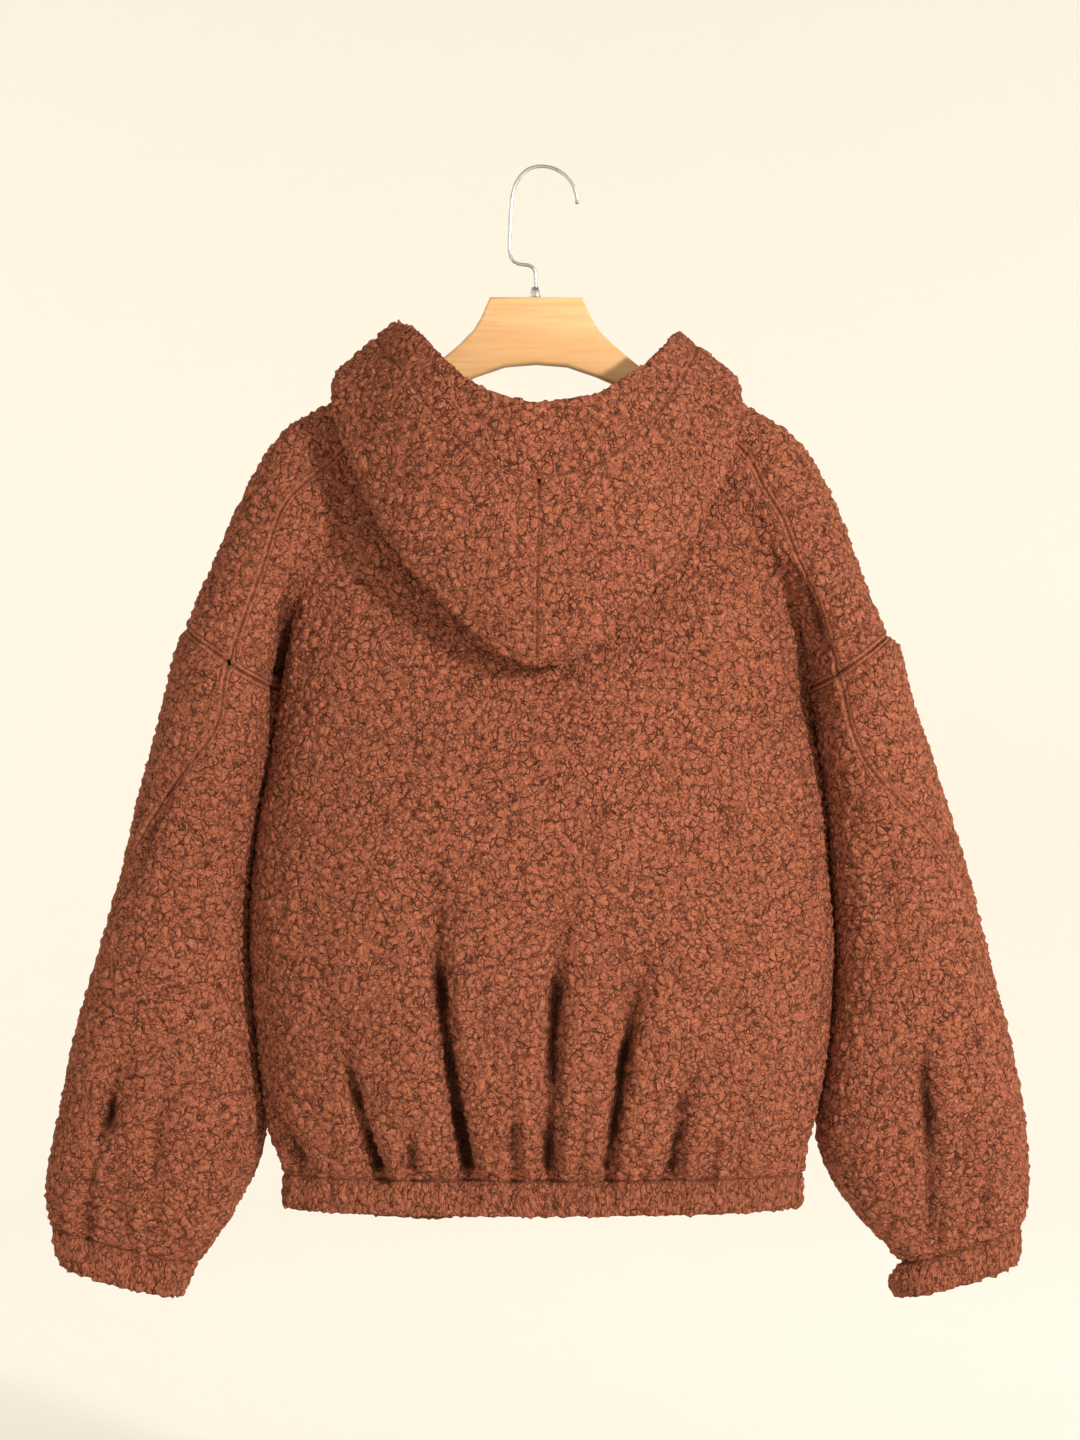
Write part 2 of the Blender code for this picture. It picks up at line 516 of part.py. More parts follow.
def spline(points, count):
    """Even points on a smooth line through a few."""
    points = np.asarray(points, dtype=float)
    length = np.concatenate([[0], np.cumsum(np.linalg.norm(np.diff(points, axis=0), axis=1) ** 0.7)])
    dense_at = np.linspace(0, length[-1], 400)
    tangents = np.gradient(points, length, axis=0)
    i = np.clip(np.searchsorted(length, dense_at, side="right") - 1, 0, len(points) - 2)
    step = (length[i + 1] - length[i])[:, None]
    t = ((dense_at - length[i]) / (length[i + 1] - length[i]))[:, None]
    dense = (points[i] * (1 + 2 * t) * (1 - t) ** 2 + tangents[i] * step * t * (1 - t) ** 2
             + points[i + 1] * t * t * (3 - 2 * t) + tangents[i + 1] * step * t * t * (t - 1))
    return resample(dense, count)


def hood_section(station, side, neck):
    """Line from the neckline down to the hood's outer fold and up to its opening edge."""
    start = neck + [0, 0, -1]
    fold = np.array([side * station.bx, station.by, station.bd], dtype=float)
    edge = np.array([side * station.cx, station.cy, station.cd], dtype=float)
    behind = float(np.clip((1 - station.neck) * 2.5, 0, 1))
    lean = np.array([neck[0] * 0.12, neck[1] * 0.25, 0])
    stand = start + lean * 0.4 + [0, -3 * behind, -9]
    top = start + lean * 0.9 + [0, -9 * behind, -12 + 2 * behind]
    if station.neck > 1.5:
        return spline([start, (start + fold) / 2 + [0, 2, 0], fold, edge], HOOD_ROWS)
    if station.neck > 1.1:
        rise = (1.6 - station.neck) * 16
        return spline([start, start + lean * 0.4 + [0, 1, -rise], (start + fold) / 2 + [0, 3, -rise / 2],
                       fold, edge], HOOD_ROWS)
    points = [start, stand, top]
    for part in (0.35, 0.7):
        point = top + (fold - top) * part
        cloth = -float(body_depth(point[0], point[2], BACK)) - HOOD_CLEARANCE
        point[1] += (cloth - point[1]) * behind
        points.append(point)
    upward = (edge - fold) / np.linalg.norm(edge - fold)
    points += [fold, fold + upward * 9 + [0, -5 * behind, 0]]
    for part in (0.35, 0.7):
        point = fold + (edge - fold) * part
        point[1] -= math.sin(math.pi * part) * station.bow * behind
        points.append(point)
    points.append(edge)
    line = spline(points, HOOD_ROWS)
    lower = int(np.argmax(line[:, 2]))
    for k in range(3, lower + 1):
        outside = line[k, 2] > neck[2]
        cloth = -float(body_depth(line[k, 0], line[k, 2], BACK)) - HOOD_CLEARANCE
        if outside and behind == 1:
            line[k, 1] = min(line[k, 1], cloth)
    return line


def build_hood(skin, neck_row):
    left = [(LEFT, station) for station in reversed(HOOD_LEFT)]
    right = [(RIGHT, station) for station in HOOD_RIGHT]
    sections = []
    for side, station in left + [(RIGHT, HOOD_CENTRE)] + right:
        neck = neck_point(neck_row, skin, side * station.neck)
        sections.append(hood_section(station, side, neck))
    halves = ["hood_left"] * len(HOOD_LEFT) + ["hood_right"] * len(HOOD_RIGHT)
    rows = [skin.add([section[k] for section in sections]) for k in range(HOOD_ROWS + 1)]
    for k, (lower, upper) in enumerate(zip(rows, rows[1:])):
        band = k >= HOOD_ROWS - HOOD_BAND_ROWS
        skin.bridge(upper, lower, ["hood_band"] * len(halves) if band else halves)


def smooth_normals(skin):
    """One outward direction for every point of the skin, shared by the pieces that meet there."""
    points = np.array(skin.points)
    points[:, 2] *= -1
    normals = np.zeros_like(points)
    for corners in skin.faces:
        loop = points[list(corners)]
        after = np.roll(loop, -1, axis=0)
        area = np.cross(loop, after).sum(axis=0)
        for k in corners:
            normals[k] += area
    length = np.linalg.norm(normals, axis=1)
    return normals / np.maximum(length, 1e-9)[:, None]


def cloth_piece(name, skin, normals, thickness, material):
    """Closed wall of one cut piece, drawn back from its seams by half the gap."""
    faces = [corners for corners, piece in zip(skin.faces, skin.pieces) if piece == name]
    points = np.array(skin.points)
    points[:, 2] *= -1
    used = sorted({k for corners in faces for k in corners})
    edges = {}
    for corners in faces:
        loop = points[list(corners)]
        facing = np.cross(loop, np.roll(loop, -1, axis=0)).sum(axis=0)
        for a, b in zip(corners, corners[1:] + corners[:1]):
            edges.setdefault((min(a, b), max(a, b)), []).append((a, b, facing))
    rim = [pair[0] for pair in edges.values() if len(pair) == 1]
    inset = {}
    for a, b, facing in rim:
        inward = np.cross(facing, points[b] - points[a])
        inward /= np.linalg.norm(inward)
        inset.setdefault(a, []).append(inward)
        inset.setdefault(b, []).append(inward)
    moved = points.copy()
    for k, ways in inset.items():
        way = np.sum(ways, axis=0)
        way /= max(np.linalg.norm(way), 1e-6)
        moved[k] += way * (SEAM_GAP / 2) / max(0.5, float(np.dot(way, ways[0])))
    index = {k: n for n, k in enumerate(used)}
    mesh = bmesh.new()
    outer = [mesh.verts.new(moved[k] * MM) for k in used]
    inner = [mesh.verts.new((moved[k] - normals[k] * thickness) * MM) for k in used]
    for corners in faces:
        ids = [index[k] for k in corners]
        mesh.faces.new([outer[k] for k in ids])
        mesh.faces.new([inner[k] for k in reversed(ids)])
    for a, b, _ in rim:
        low, high = index[min(a, b)], index[max(a, b)]
        first = [outer[low], outer[high], inner[high]]
        second = [outer[low], inner[high], inner[low]]
        for corners in (first, second):
            mesh.faces.new(corners if a > b else corners[::-1])
    return add_object(name, mesh, material)


def add_object(name, mesh, material):
    data = bpy.data.meshes.new(name)
    mesh.to_mesh(data)
    mesh.free()
    data.materials.append(own_material(name, material))
    data.shade_smooth()
    item = bpy.data.objects.new(name, data)
    jacket.objects.link(item)
    return item


def curve_object(name, points, material, closed=False, flat=False):
    """Curve through points in metres; flat ones are outlines seen from the back."""
    data = bpy.data.curves.new(name, "CURVE")
    data.dimensions = "2D" if flat else "3D"
    path = data.splines.new("POLY")
    path.points.add(len(points) - 1)
    for point, place in zip(path.points, points):
        point.co = (*place, 1)
    path.use_cyclic_u = closed
    data.materials.append(own_material(name, material))
    item = bpy.data.objects.new(name, data)
    jacket.objects.link(item)
    return item


def build_hanger(wood, steel):
    half = HANGER_TOP + HANGER_END + HANGER_UNDER
    right = [(x, -drop) for x, drop in half]
    left = [(-x, -drop) for x, drop in reversed(half)]
    outline = right + [(0, -HANGER_ARCH)] + left
    body = curve_object("hanger", [(x * MM, z * MM, 0) for x, z in outline], wood, closed=True, flat=True)
    body.data.fill_mode = "BOTH"
    body.data.extrude = (HANGER_THICKNESS / 2 - HANGER_ROUNDING) * MM
    body.data.bevel_depth = HANGER_ROUNDING * MM
    body.data.offset = -HANGER_ROUNDING * MM
    body.data.bevel_resolution = 1
    body.location = (HANGER_X * MM, 0, 0)
    body.rotation_euler = (math.pi / 2, 0, 0)
    route = spline([(x, 0, drop) for x, drop in HOOK_ROUTE], HOOK_POINTS)
    route[0, 2] -= SEAM_GAP
    hook = curve_object("hanger_hook", [(x * MM, 0, -drop * MM) for x, _, drop in route], steel)
    hook.data.bevel_depth = HOOK_WIRE / 2 * MM
    hook.data.bevel_resolution = 2
    hook.data.use_fill_caps = True
    ring = bmesh.new()
    profile = [ring.verts.new((r * MM, 0, -(drop - SEAM_GAP) * MM)) for r, drop in FERRULE]
    for a, b in zip(profile, profile[1:] + profile[:1]):
        ring.edges.new((a, b))
    ferrule = add_object("hanger_ferrule", ring, steel)
    ferrule.location = (HOOK_ROUTE[0][0] * MM, 0, 0)
    turn = ferrule.modifiers.new("turned", "SCREW")
    turn.steps = turn.render_steps = 16
    turn.use_merge_vertices = True
    turn.merge_threshold = 0.00001
    turn.use_normal_calculate = True
    turn.use_normal_flip = True


def zip_line(skin, normals):
    """Points down the middle of the zip, behind the front edges, with their outward directions."""
    marks = [k for k, p in enumerate(skin.points) if abs(abs(p[0]) - ZIP_OPENING / 2) < 0.05 and p[1] > 20]
    marks.sort(key=lambda k: skin.points[k][2])
    points, facing = [], []
    for a, b in zip(marks[::2], marks[1::2]):
        points.append((skin.points[a] + skin.points[b]) / 2 * [0, 1, -1])
        out = (normals[a] + normals[b]) * [0, 1, 1]
        facing.append(out / np.linalg.norm(out))
    return np.array(points), np.array(facing)


def build_tape(name, side, points, facing, material):
    """Zip tape with its row of teeth as a bead, swept down behind one front edge."""
    mesh = bmesh.new()
    rings = []
    for point, out in zip(points, facing):
        base = point - out * (WALL + ZIP_BEHIND)
        corners = [base + [side * x, 0, 0] + out * rise for x, rise in ZIP_TAPE]
        rings.append([mesh.verts.new(corner * MM) for corner in corners])
    count = len(ZIP_TAPE)
    for upper, lower in zip(rings, rings[1:]):
        for k in range(count):
            mesh.faces.new([upper[k], lower[k], lower[(k + 1) % count], upper[(k + 1) % count]])
    mesh.faces.new(rings[0])
    mesh.faces.new(rings[-1][::-1])
    bmesh.ops.recalc_face_normals(mesh, faces=mesh.faces)
    add_object(name, mesh, material)


def box(mesh, size, centre):
    """Add a box to a mesh; size and centre in millimetres."""
    made = bmesh.ops.create_cube(mesh, size=1)["verts"]
    bmesh.ops.scale(mesh, vec=[n * MM for n in size], verts=made)
    bmesh.ops.translate(mesh, vec=[n * MM for n in centre], verts=made)


def united(name, material, place, tilt, shapes):
    """One object from overlapping shapes, each given as a function that adds it to an empty mesh."""
    items = []
    for number, shape in enumerate(shapes):
        mesh = bmesh.new()
        shape(mesh)
        item = add_object(name if number == 0 else f"{name}_tool_{number}", mesh, material)
        item.location = [n * MM for n in place]
        item.rotation_euler = (tilt, 0, 0)
        items.append(item)
    for tool in items[1:]:
        join = items[0].modifiers.new("join", "BOOLEAN")
        join.operation = "UNION"
        join.object = tool
        tool.hide_render = True
        tool.display_type = "WIRE"
        jacket.objects.unlink(tool)
        tools.objects.link(tool)
    return items[0]


def build_slider(points, facing, metal):
    """Slider on the teeth, and the pull tab hinged between its two ears."""
    drops = -points[:, 2]
    middle = np.array([np.interp(SLIDER_DROP, drops, points[:, k]) for k in range(3)])
    out = np.array([np.interp(SLIDER_DROP, drops, facing[:, k]) for k in range(3)])
    out /= np.linalg.norm(out)
    tilt = math.atan2(out[2], out[1])
    rise = -WALL - ZIP_BEHIND + ZIP_TAPE[2][1] + SEAM_GAP + SLIDER_SIZE[1] / 2
    place = middle + out * rise
    front = SLIDER_SIZE[1] / 2
    ear_y = front + EAR_SIZE[1] / 2 - 0.4
    united("zip_slider", metal, place, tilt, [
        lambda mesh: box(mesh, SLIDER_SIZE, (0, 0, 0)),
        lambda mesh: box(mesh, EAR_SIZE, (-EAR_SPACING, ear_y, PIVOT_UP)),
        lambda mesh: box(mesh, EAR_SIZE, (EAR_SPACING, ear_y, PIVOT_UP)),
    ])
    up = np.array([0, -out[2], out[1]])
    pivot = place + out * (front + PIVOT_OUT) + up * PIVOT_UP

    def barrel(mesh):
        radius, width = TAB_BARREL
        turn = Vector((0, 0, 1)).rotation_difference(Vector((1, 0, 0))).to_matrix().to_4x4()
        bmesh.ops.create_cone(mesh, cap_ends=True, segments=14, radius1=radius * MM, radius2=radius * MM,
                              depth=width * MM, matrix=turn)

    reach = TAB_BARREL[0] + EAR_SIZE[2] / 2 + 1.2
    united("zip_pull", metal, pivot, tilt + math.radians(TAB_LEAN), [
        lambda mesh: box(mesh, TAB_SIZE, (0, 0, -reach - TAB_SIZE[2] / 2)),
        lambda mesh: box(mesh, (TAB_BARREL[1] - 0.4, TAB_SIZE[1] - 0.2, reach + 1), (0, 0, -(reach + 1) / 2)),
        barrel,
    ])


def make_material(name, colour, roughness, metallic=0.0):
    material = bpy.data.materials.new(name)
    material.use_nodes = True
    shader = material.node_tree.nodes["Principled BSDF"]
    shader.inputs["Base Color"].default_value = (*colour, 1)
    shader.inputs["Roughness"].default_value = roughness
    shader.inputs["Metallic"].default_value = metallic
    return material


def own_material(name, material):
    own = material.copy()
    own.name = name
    return own


def start_scene():
    for item in list(bpy.data.objects):
        bpy.data.objects.remove(item)
    made = []
    for name in ("sherpa_jacket_on_hanger", "union_tools"):
        made.append(bpy.data.collections.new(name))
        bpy.context.scene.collection.children.link(made[-1])
    return made


jacket, tools = start_scene()
SHERPA = make_material("sherpa", (0.36, 0.13, 0.07), 0.95)
WOOD = make_material("beech", (0.62, 0.42, 0.25), 0.45)
STEEL = make_material("steel", (0.6, 0.6, 0.6), 0.3, 1.0)
TAPE = make_material("zip_tape", (0.22, 0.08, 0.045), 0.85)
ZIP_METAL = make_material("zip_metal", (0.45, 0.4, 0.33), 0.35, 1.0)

body_skin = Skin()
neck_row, left_armhole, right_armhole = build_body(body_skin)
build_sleeve(body_skin, LEFT, left_armhole, "left")
build_sleeve(body_skin, RIGHT, right_armhole, "right")
hood_skin = Skin()
hood_skin.points = list(body_skin.points)
build_hood(hood_skin, neck_row)
for cloth in (body_skin, hood_skin):
    outward = smooth_normals(cloth)
    for piece_name in sorted(set(cloth.pieces)):
        cloth_piece(piece_name, cloth, outward, WALL, SHERPA)
build_hanger(WOOD, STEEL)
zip_points, zip_facing = zip_line(body_skin, smooth_normals(body_skin))
build_tape("zip_tape_left", LEFT, zip_points, zip_facing, TAPE)
build_tape("zip_tape_right", RIGHT, zip_points, zip_facing, TAPE)
build_slider(zip_points, zip_facing, ZIP_METAL)
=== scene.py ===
"""Looks of a hooded sherpa jacket on a wooden hanger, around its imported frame.

Metres, +Z up, the jacket's back towards -Y, origin under the top of the hanger's hook. Each cut piece is
a thin shell on its solid's form: remeshed, creased, then given its curly pile by Geometry Nodes. The same
pile formula colours it, read through the "rest" attribute that holds each point's place before the pile.
"""

import json
import math
from collections import namedtuple

import bmesh
import bpy
import numpy as np
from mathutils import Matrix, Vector, kdtree
from mathutils.bvhtree import BVHTree


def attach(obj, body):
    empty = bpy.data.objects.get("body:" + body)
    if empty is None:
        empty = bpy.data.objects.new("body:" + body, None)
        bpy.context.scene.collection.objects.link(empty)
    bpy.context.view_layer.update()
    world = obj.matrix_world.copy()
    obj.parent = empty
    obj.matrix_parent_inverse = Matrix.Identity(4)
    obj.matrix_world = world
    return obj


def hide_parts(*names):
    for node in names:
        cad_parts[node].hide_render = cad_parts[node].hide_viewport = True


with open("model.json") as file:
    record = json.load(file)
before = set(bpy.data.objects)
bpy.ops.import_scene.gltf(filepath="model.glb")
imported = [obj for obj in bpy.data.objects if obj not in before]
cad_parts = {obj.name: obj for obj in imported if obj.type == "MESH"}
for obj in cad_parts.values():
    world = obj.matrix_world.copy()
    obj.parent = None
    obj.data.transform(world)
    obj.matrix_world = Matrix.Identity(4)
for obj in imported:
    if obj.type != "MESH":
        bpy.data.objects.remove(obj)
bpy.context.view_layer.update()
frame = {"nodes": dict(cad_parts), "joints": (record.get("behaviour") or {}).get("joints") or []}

MM = 0.001
WALL = 5.0 * MM                 # thickness of the sherpa's solids
VOXEL = 2.8 * MM
RIM_SLACK = 0.004 * MM          # a solid's rim edges are this close to its wall's thickness
CORNER_TURN = math.radians(38)  # sharper turns of a cut edge stay corners
SEAM_REACH = 1.6 * MM           # a cut edge this near another piece is sewn to it
SEAM_LAP = 1.7 * MM             # sewn edges reach this much further, so that no gap shows
JACKET = "jacket"

# pile: sizes of its forms, and their heights in the mesh and in the finer bump
CLUMP = 8.0 * MM
LUMP = 5.0 * MM
CRINKLE = 4.0 * MM
FIBRE = 1.6 * MM
CLUMP_HEIGHT = 2.2 * MM
LUMP_HEIGHT = 0.8 * MM
PILE_DEPTH = 1.7 * MM           # the pile's mean height, taken off so that it lies about the solid's face
PILE_LIFT = 1.3 * MM            # the tops stand this far out of the solid
GROOVE_DEPTH = 1.4 * MM         # seams are pressed in by this
GROOVE_WIDTH = 3.2              # from a seam to the groove's edge, in millimetres like the seam attribute
STITCH_ROWS = (0.0, 3.6)        # the seam and the row of stitches beside it
BUMP_CRACK, BUMP_CLUMP, BUMP_LUMP, BUMP_CRINKLE, BUMP_FIBRE = (n * MM for n in (0.9, 0.5, 0.7, 0.6, 1.3))
GATHERED = (1.5, 1.5, 0.8)      # the pile's stretch on hem and cuffs, where elastic draws it together
SIDE_LIFT = 1.4 * MM            # sleeves and body reach this much further towards each other

PILE_MAIN = (0.460, 0.140, 0.074, 1)
PILE_DEEP = (0.420, 0.124, 0.064, 1)
PILE_PALE = (0.560, 0.205, 0.120, 1)
# PILE_SHADE is painted shade in the crinkles' valleys; the darkest pile colour after it is painted shade in the
# pile's cracks and deep creases, and also the stitches' dark line
PILE_SHADE = (0.260, 0.060, 0.024, 1)
PILE_DEEP_SHADE_AND_STITCH = (0.028, 0.004, 0.001, 1)
LINING_DARK = (0.12, 0.036, 0.018, 1)
LINING_PALE = (0.18, 0.056, 0.030, 1)
TAPE_DARK = (0.10, 0.030, 0.016, 1)
TAPE_PALE = (0.24, 0.080, 0.045, 1)
WOOD_MAIN = (0.86, 0.47, 0.19, 1)
WOOD_PALE = (0.93, 0.56, 0.26, 1)
WOOD_RINGS = (0.70, 0.34, 0.12, 1)
WOOD_PORES = (0.50, 0.22, 0.08, 1)

# zip
TOOTH_PITCH = 2.6 * MM
TOOTH_SIZE = (3.0 * MM, 3.7 * MM, 1.15 * MM)
TOOTH_FROM_MIDDLE = 1.25 * MM
TEETH_START = 3 * MM            # below the tape's top
TEETH_STOP = 14 * MM            # above the tape's end
SLIDER_TILT = math.radians(11.2)

Lamp = namedtuple("Lamp", "name place aim size power colour")
MIDDLE = (0, 0, -0.45)
LAMPS = [
    Lamp("key", (2.0, -2.3, 0.45), MIDDLE, 0.22, 78, (1.0, 0.97, 0.93)),
    Lamp("fill", (-2.6, -2.2, 0.1), MIDDLE, 2.0, 4, (1.0, 0.98, 0.95)),
    Lamp("back", (0.6, 2.6, 1.2), MIDDLE, 2.2, 16, (1.0, 0.98, 0.95)),
    Lamp("wall left", (-2.4, 1.2, 0.6), (-0.3, 4.0, -0.5), 1.5, 12, (1.0, 0.97, 0.92)),
    Lamp("wall right", (2.4, 1.2, 0.6), (0.3, 4.0, -0.5), 1.5, 12, (1.0, 0.97, 0.92)),
]

# flat width and length of each piece as cut, in metres, with its area
CUT = {
    "back": (0.60, 0.63, 0.288), "front_left": (0.33, 0.74, 0.170), "front_right": (0.33, 0.74, 0.170),
    "sleeve_left_front": (0.26, 0.52, 0.095), "sleeve_left_back": (0.20, 0.50, 0.074),
    "sleeve_right_front": (0.27, 0.52, 0.099), "sleeve_right_back": (0.19, 0.50, 0.070),
    "cuff_left": (0.27, 0.03, 0.0078), "cuff_right": (0.26, 0.03, 0.0073),
    "hem_back": (0.46, 0.028, 0.0124), "hem_front_left": (0.22, 0.028, 0.0059),
    "hem_front_right": (0.22, 0.028, 0.0060), "hood_left": (0.27, 0.32, 0.063),
    "hood_right": (0.27, 0.32, 0.062), "hood_band": (0.68, 0.028, 0.0178),
}

# creases on and between the solids' folds: three points (x, drop) and depth, width in millimetres
Crease = namedtuple("Crease", "x0 drop0 x1 drop1 x2 drop2 depth width side")
BACK, FRONT = -1, 1
CREASES = [
    Crease(-180, 280, -194, 345, -212, 440, 6, 5, BACK), Crease(184, 300, 205, 338, 219, 384, 4, 6, BACK),
    Crease(-219, 700, -200, 738, -178, 783, 4, 5, BACK), Crease(-151, 670, -142, 707, -122, 783, 6, 5, BACK),
    Crease(-99, 738, -98, 760, -96, 783, 4, 4, BACK), Crease(-82, 560, -72, 667, -54, 783, 7, 6, BACK),
    Crease(-74, 742, -73, 765, -72, 783, 3, 4, BACK), Crease(-21, 715, -20, 750, -18, 783, 4, 4, BACK),
    Crease(17, 560, 10, 667, 6, 783, 6, 6, BACK), Crease(84, 580, 64, 681, 50, 783, 6, 5, BACK),
    Crease(126, 690, 109, 713, 99, 783, 5, 5, BACK), Crease(137, 735, 134, 760, 131, 783, 3, 4, BACK),
    Crease(-34, 640, -32, 700, -36, 770, 2, 7, BACK), Crease(36, 690, 33, 740, 30, 783, 2.5, 5, BACK),
    Crease(172, 690, 160, 740, 150, 783, 3, 5, BACK), Crease(-178, 560, -166, 640, -158, 720, 2, 10, BACK),
    Crease(160, 540, 150, 620, 142, 700, 2, 12, BACK), Crease(-60, 420, -56, 480, -50, 540, 1.5, 14, BACK),
    Crease(96, 430, 90, 480, 84, 540, 1.5, 14, BACK),
    Crease(-150, 650, -140, 710, -120, 783, 5, 6, FRONT), Crease(-84, 650, -78, 710, -72, 783, 3, 6, FRONT),
    Crease(70, 610, 64, 690, 52, 783, 5, 6, FRONT), Crease(128, 695, 118, 735, 106, 783, 4, 5, FRONT),
    Crease(164, 640, 152, 710, 144, 783, 3, 7, FRONT), Crease(-30, 720, -32, 750, -30, 783, 3, 5, FRONT),
    Crease(-310, 650, -345, 780, -352, 835, 4, 7, BACK), Crease(-286, 660, -292, 750, -300, 835, 3, 7, BACK),
    Crease(-262, 445, -296, 512, -318, 560, 3, 6, BACK), Crease(-332, 700, -326, 770, -324, 840, 3, 6, BACK),
    Crease(293, 630, 296, 713, 305, 835, 5, 7, BACK), Crease(343, 770, 343, 800, 342, 835, 4, 5, BACK),
    Crease(262, 500, 266, 560, 272, 620, 2.5, 9, BACK), Crease(326, 690, 330, 760, 326, 840, 3, 6, BACK),
    Crease(-300, 650, -318, 740, -325, 835, 4, 7, FRONT), Crease(-350, 720, -352, 780, -350, 840, 3, 6, FRONT),
    Crease(320, 660, 330, 740, 335, 835, 4, 7, FRONT), Crease(290, 640, 300, 740, 306, 830, 3, 7, FRONT),
]


class Link:
    """A node socket that can be used in plain arithmetic."""

    def __init__(self, graph, socket):
        self.graph, self.socket = graph, socket

    def maths(self, operation, *others):
        values = [self, *others]
        return self.graph.node("ShaderNodeMath", {"operation": operation}, dict(enumerate(values)))

    def __add__(self, other):
        return self.maths("ADD", other)

    def __sub__(self, other):
        return self.maths("SUBTRACT", other)

    def __mul__(self, other):
        return self.maths("MULTIPLY", other)

    def __truediv__(self, other):
        return self.maths("DIVIDE", other)

    def __rsub__(self, other):
        return self.graph.node("ShaderNodeMath", {"operation": "SUBTRACT"}, {0: other, 1: self})

    __radd__, __rmul__ = __add__, __mul__

    def clamp(self):
        return self.graph.node("ShaderNodeClamp", {}, {"Value": self})

    def step(self, low, high, first=0.0, last=1.0):
        """Smooth change from first to last as this value goes from low to high."""
        return self.graph.node("ShaderNodeMapRange", {"interpolation_type": "SMOOTHSTEP"}, {
            "Value": self, "From Min": low, "From Max": high, "To Min": first, "To Max": last})

    def bell(self, centre, width):
        """1 at centre, falling to 0 about width away."""
        away = (self - centre).maths("ABSOLUTE")
        return away.step(0.0, width, 1.0, 0.0)


class Graph:
    """Short way to write a shader or geometry node tree."""

    def __init__(self, tree):
        self.tree = tree

    def node(self, kind, settings, inputs, output=0):
        made = self.tree.nodes.new(kind)
        for name, value in settings.items():
            setattr(made, name, value)
        for key, value in inputs.items():
            socket = made.inputs[key]
            if isinstance(value, Link):
                self.tree.links.new(value.socket, socket)
            else:
                socket.default_value = value
        return Link(self, made.outputs[output]) if len(made.outputs) else None

    def vector(self, operation, a, b=None, output=0):
        inputs = {0: a} if b is None else {0: a, 1: b}
        return self.node("ShaderNodeVectorMath", {"operation": operation}, inputs, output)

    def noise(self, place, size, detail=2.0, roughness=0.5, output=0):
        """Noise about even in features of the given size in metres."""
        return self.node("ShaderNodeTexNoise", {"noise_dimensions": "3D"}, {
            "Vector": place, "Scale": 1 / size, "Detail": detail, "Roughness": roughness}, output)

    def cells(self, place, size, feature="DISTANCE_TO_EDGE"):
        return self.node("ShaderNodeTexVoronoi", {"voronoi_dimensions": "3D", "feature": feature}, {
            "Vector": place, "Scale": 1 / size, "Randomness": 1.0})

    def mix(self, share, first, second):
        """Mixed colour; first at share 0."""
        inputs = {"Factor": share, 6: first, 7: second}
        return self.node("ShaderNodeMix", {"data_type": "RGBA"}, inputs, output=2)


def pile(graph, place):
    """Crack strength, 0 to 1, and the heights of clumps, lumps and crinkles, 0 in the cracks and 1 on top."""
    wander = graph.vector("SUBTRACT", graph.noise(place, 7 * MM, 2.0, 0.5, output=1), (0.5, 0.5, 0.5))
    wander = graph.vector("MULTIPLY", wander, (6 * MM, 6 * MM, 6 * MM))
    shiver = graph.vector("SUBTRACT", graph.noise(place, 2.4 * MM, 1.0, 0.5, output=1), (0.5, 0.5, 0.5))
    shiver = graph.vector("MULTIPLY", shiver, (2 * MM, 2 * MM, 2 * MM))
    warped = graph.vector("ADD", graph.vector("ADD", place, wander), shiver)
    clump = graph.cells(warped, CLUMP)
    lump = graph.cells(graph.vector("ADD", warped, (0.3, 0.7, 0.1)), LUMP)
    crinkle = (graph.noise(warped, CRINKLE, 1.0, 0.5) - 0.5).maths("ABSOLUTE")
    open_clump = graph.noise(place, 6 * MM, 1.0, 0.5).step(0.38, 0.58, 0.15, 1.0)
    open_lump = graph.noise(graph.vector("ADD", place, (0.3, 0.7, 0.1)), 5 * MM, 1.0, 0.5).step(0.4, 0.6, 0.0)
    open_crinkle = graph.noise(graph.vector("ADD", place, (0.7, 0.2, 0.5)), 9 * MM, 1.0, 0.5).step(0.45, 0.6)
    wide = graph.noise(place, 5 * MM, 1.0, 0.5).step(0.3, 0.7, 0.06, 0.15)
    crack = (1 - clump.step(0.0, wide)) * open_clump
    small = (1 - lump.step(0.0, wide * 1.6)) * open_lump
    fine = (1 - crinkle.step(0.0, 0.035)) * open_crinkle
    crack = crack.maths("MAXIMUM", (small * 0.8).maths("MAXIMUM", fine * 0.4))
    return crack, clump, lump, crinkle.step(0.0, 0.1)


def smooth(t):
    t = np.clip(t, 0, 1)
    return t * t * (3 - 2 * t)


def deselect():
    bpy.ops.object.select_all(action="DESELECT")


def make_active(item):
    deselect()
    item.select_set(True)
    bpy.context.view_layer.objects.active = item


def new_object(name, mesh):
    item = bpy.data.objects.new(name, mesh)
    bpy.context.scene.collection.objects.link(item)
    return item


def apply_all(item):
    make_active(item)
    for modifier in list(item.modifiers):
        bpy.ops.object.modifier_apply(modifier=modifier.name)


def merged_copy(node, name):
    """Own object with a node's mesh, its loose triangles joined."""
    mesh = frame["nodes"][node].data.copy()
    mesh.materials.clear()
    item = new_object(name, mesh)
    shape = bmesh.new()
    shape.from_mesh(mesh)
    bmesh.ops.remove_doubles(shape, verts=shape.verts, dist=2e-6)
    shape.to_mesh(mesh)
    shape.free()
    return item


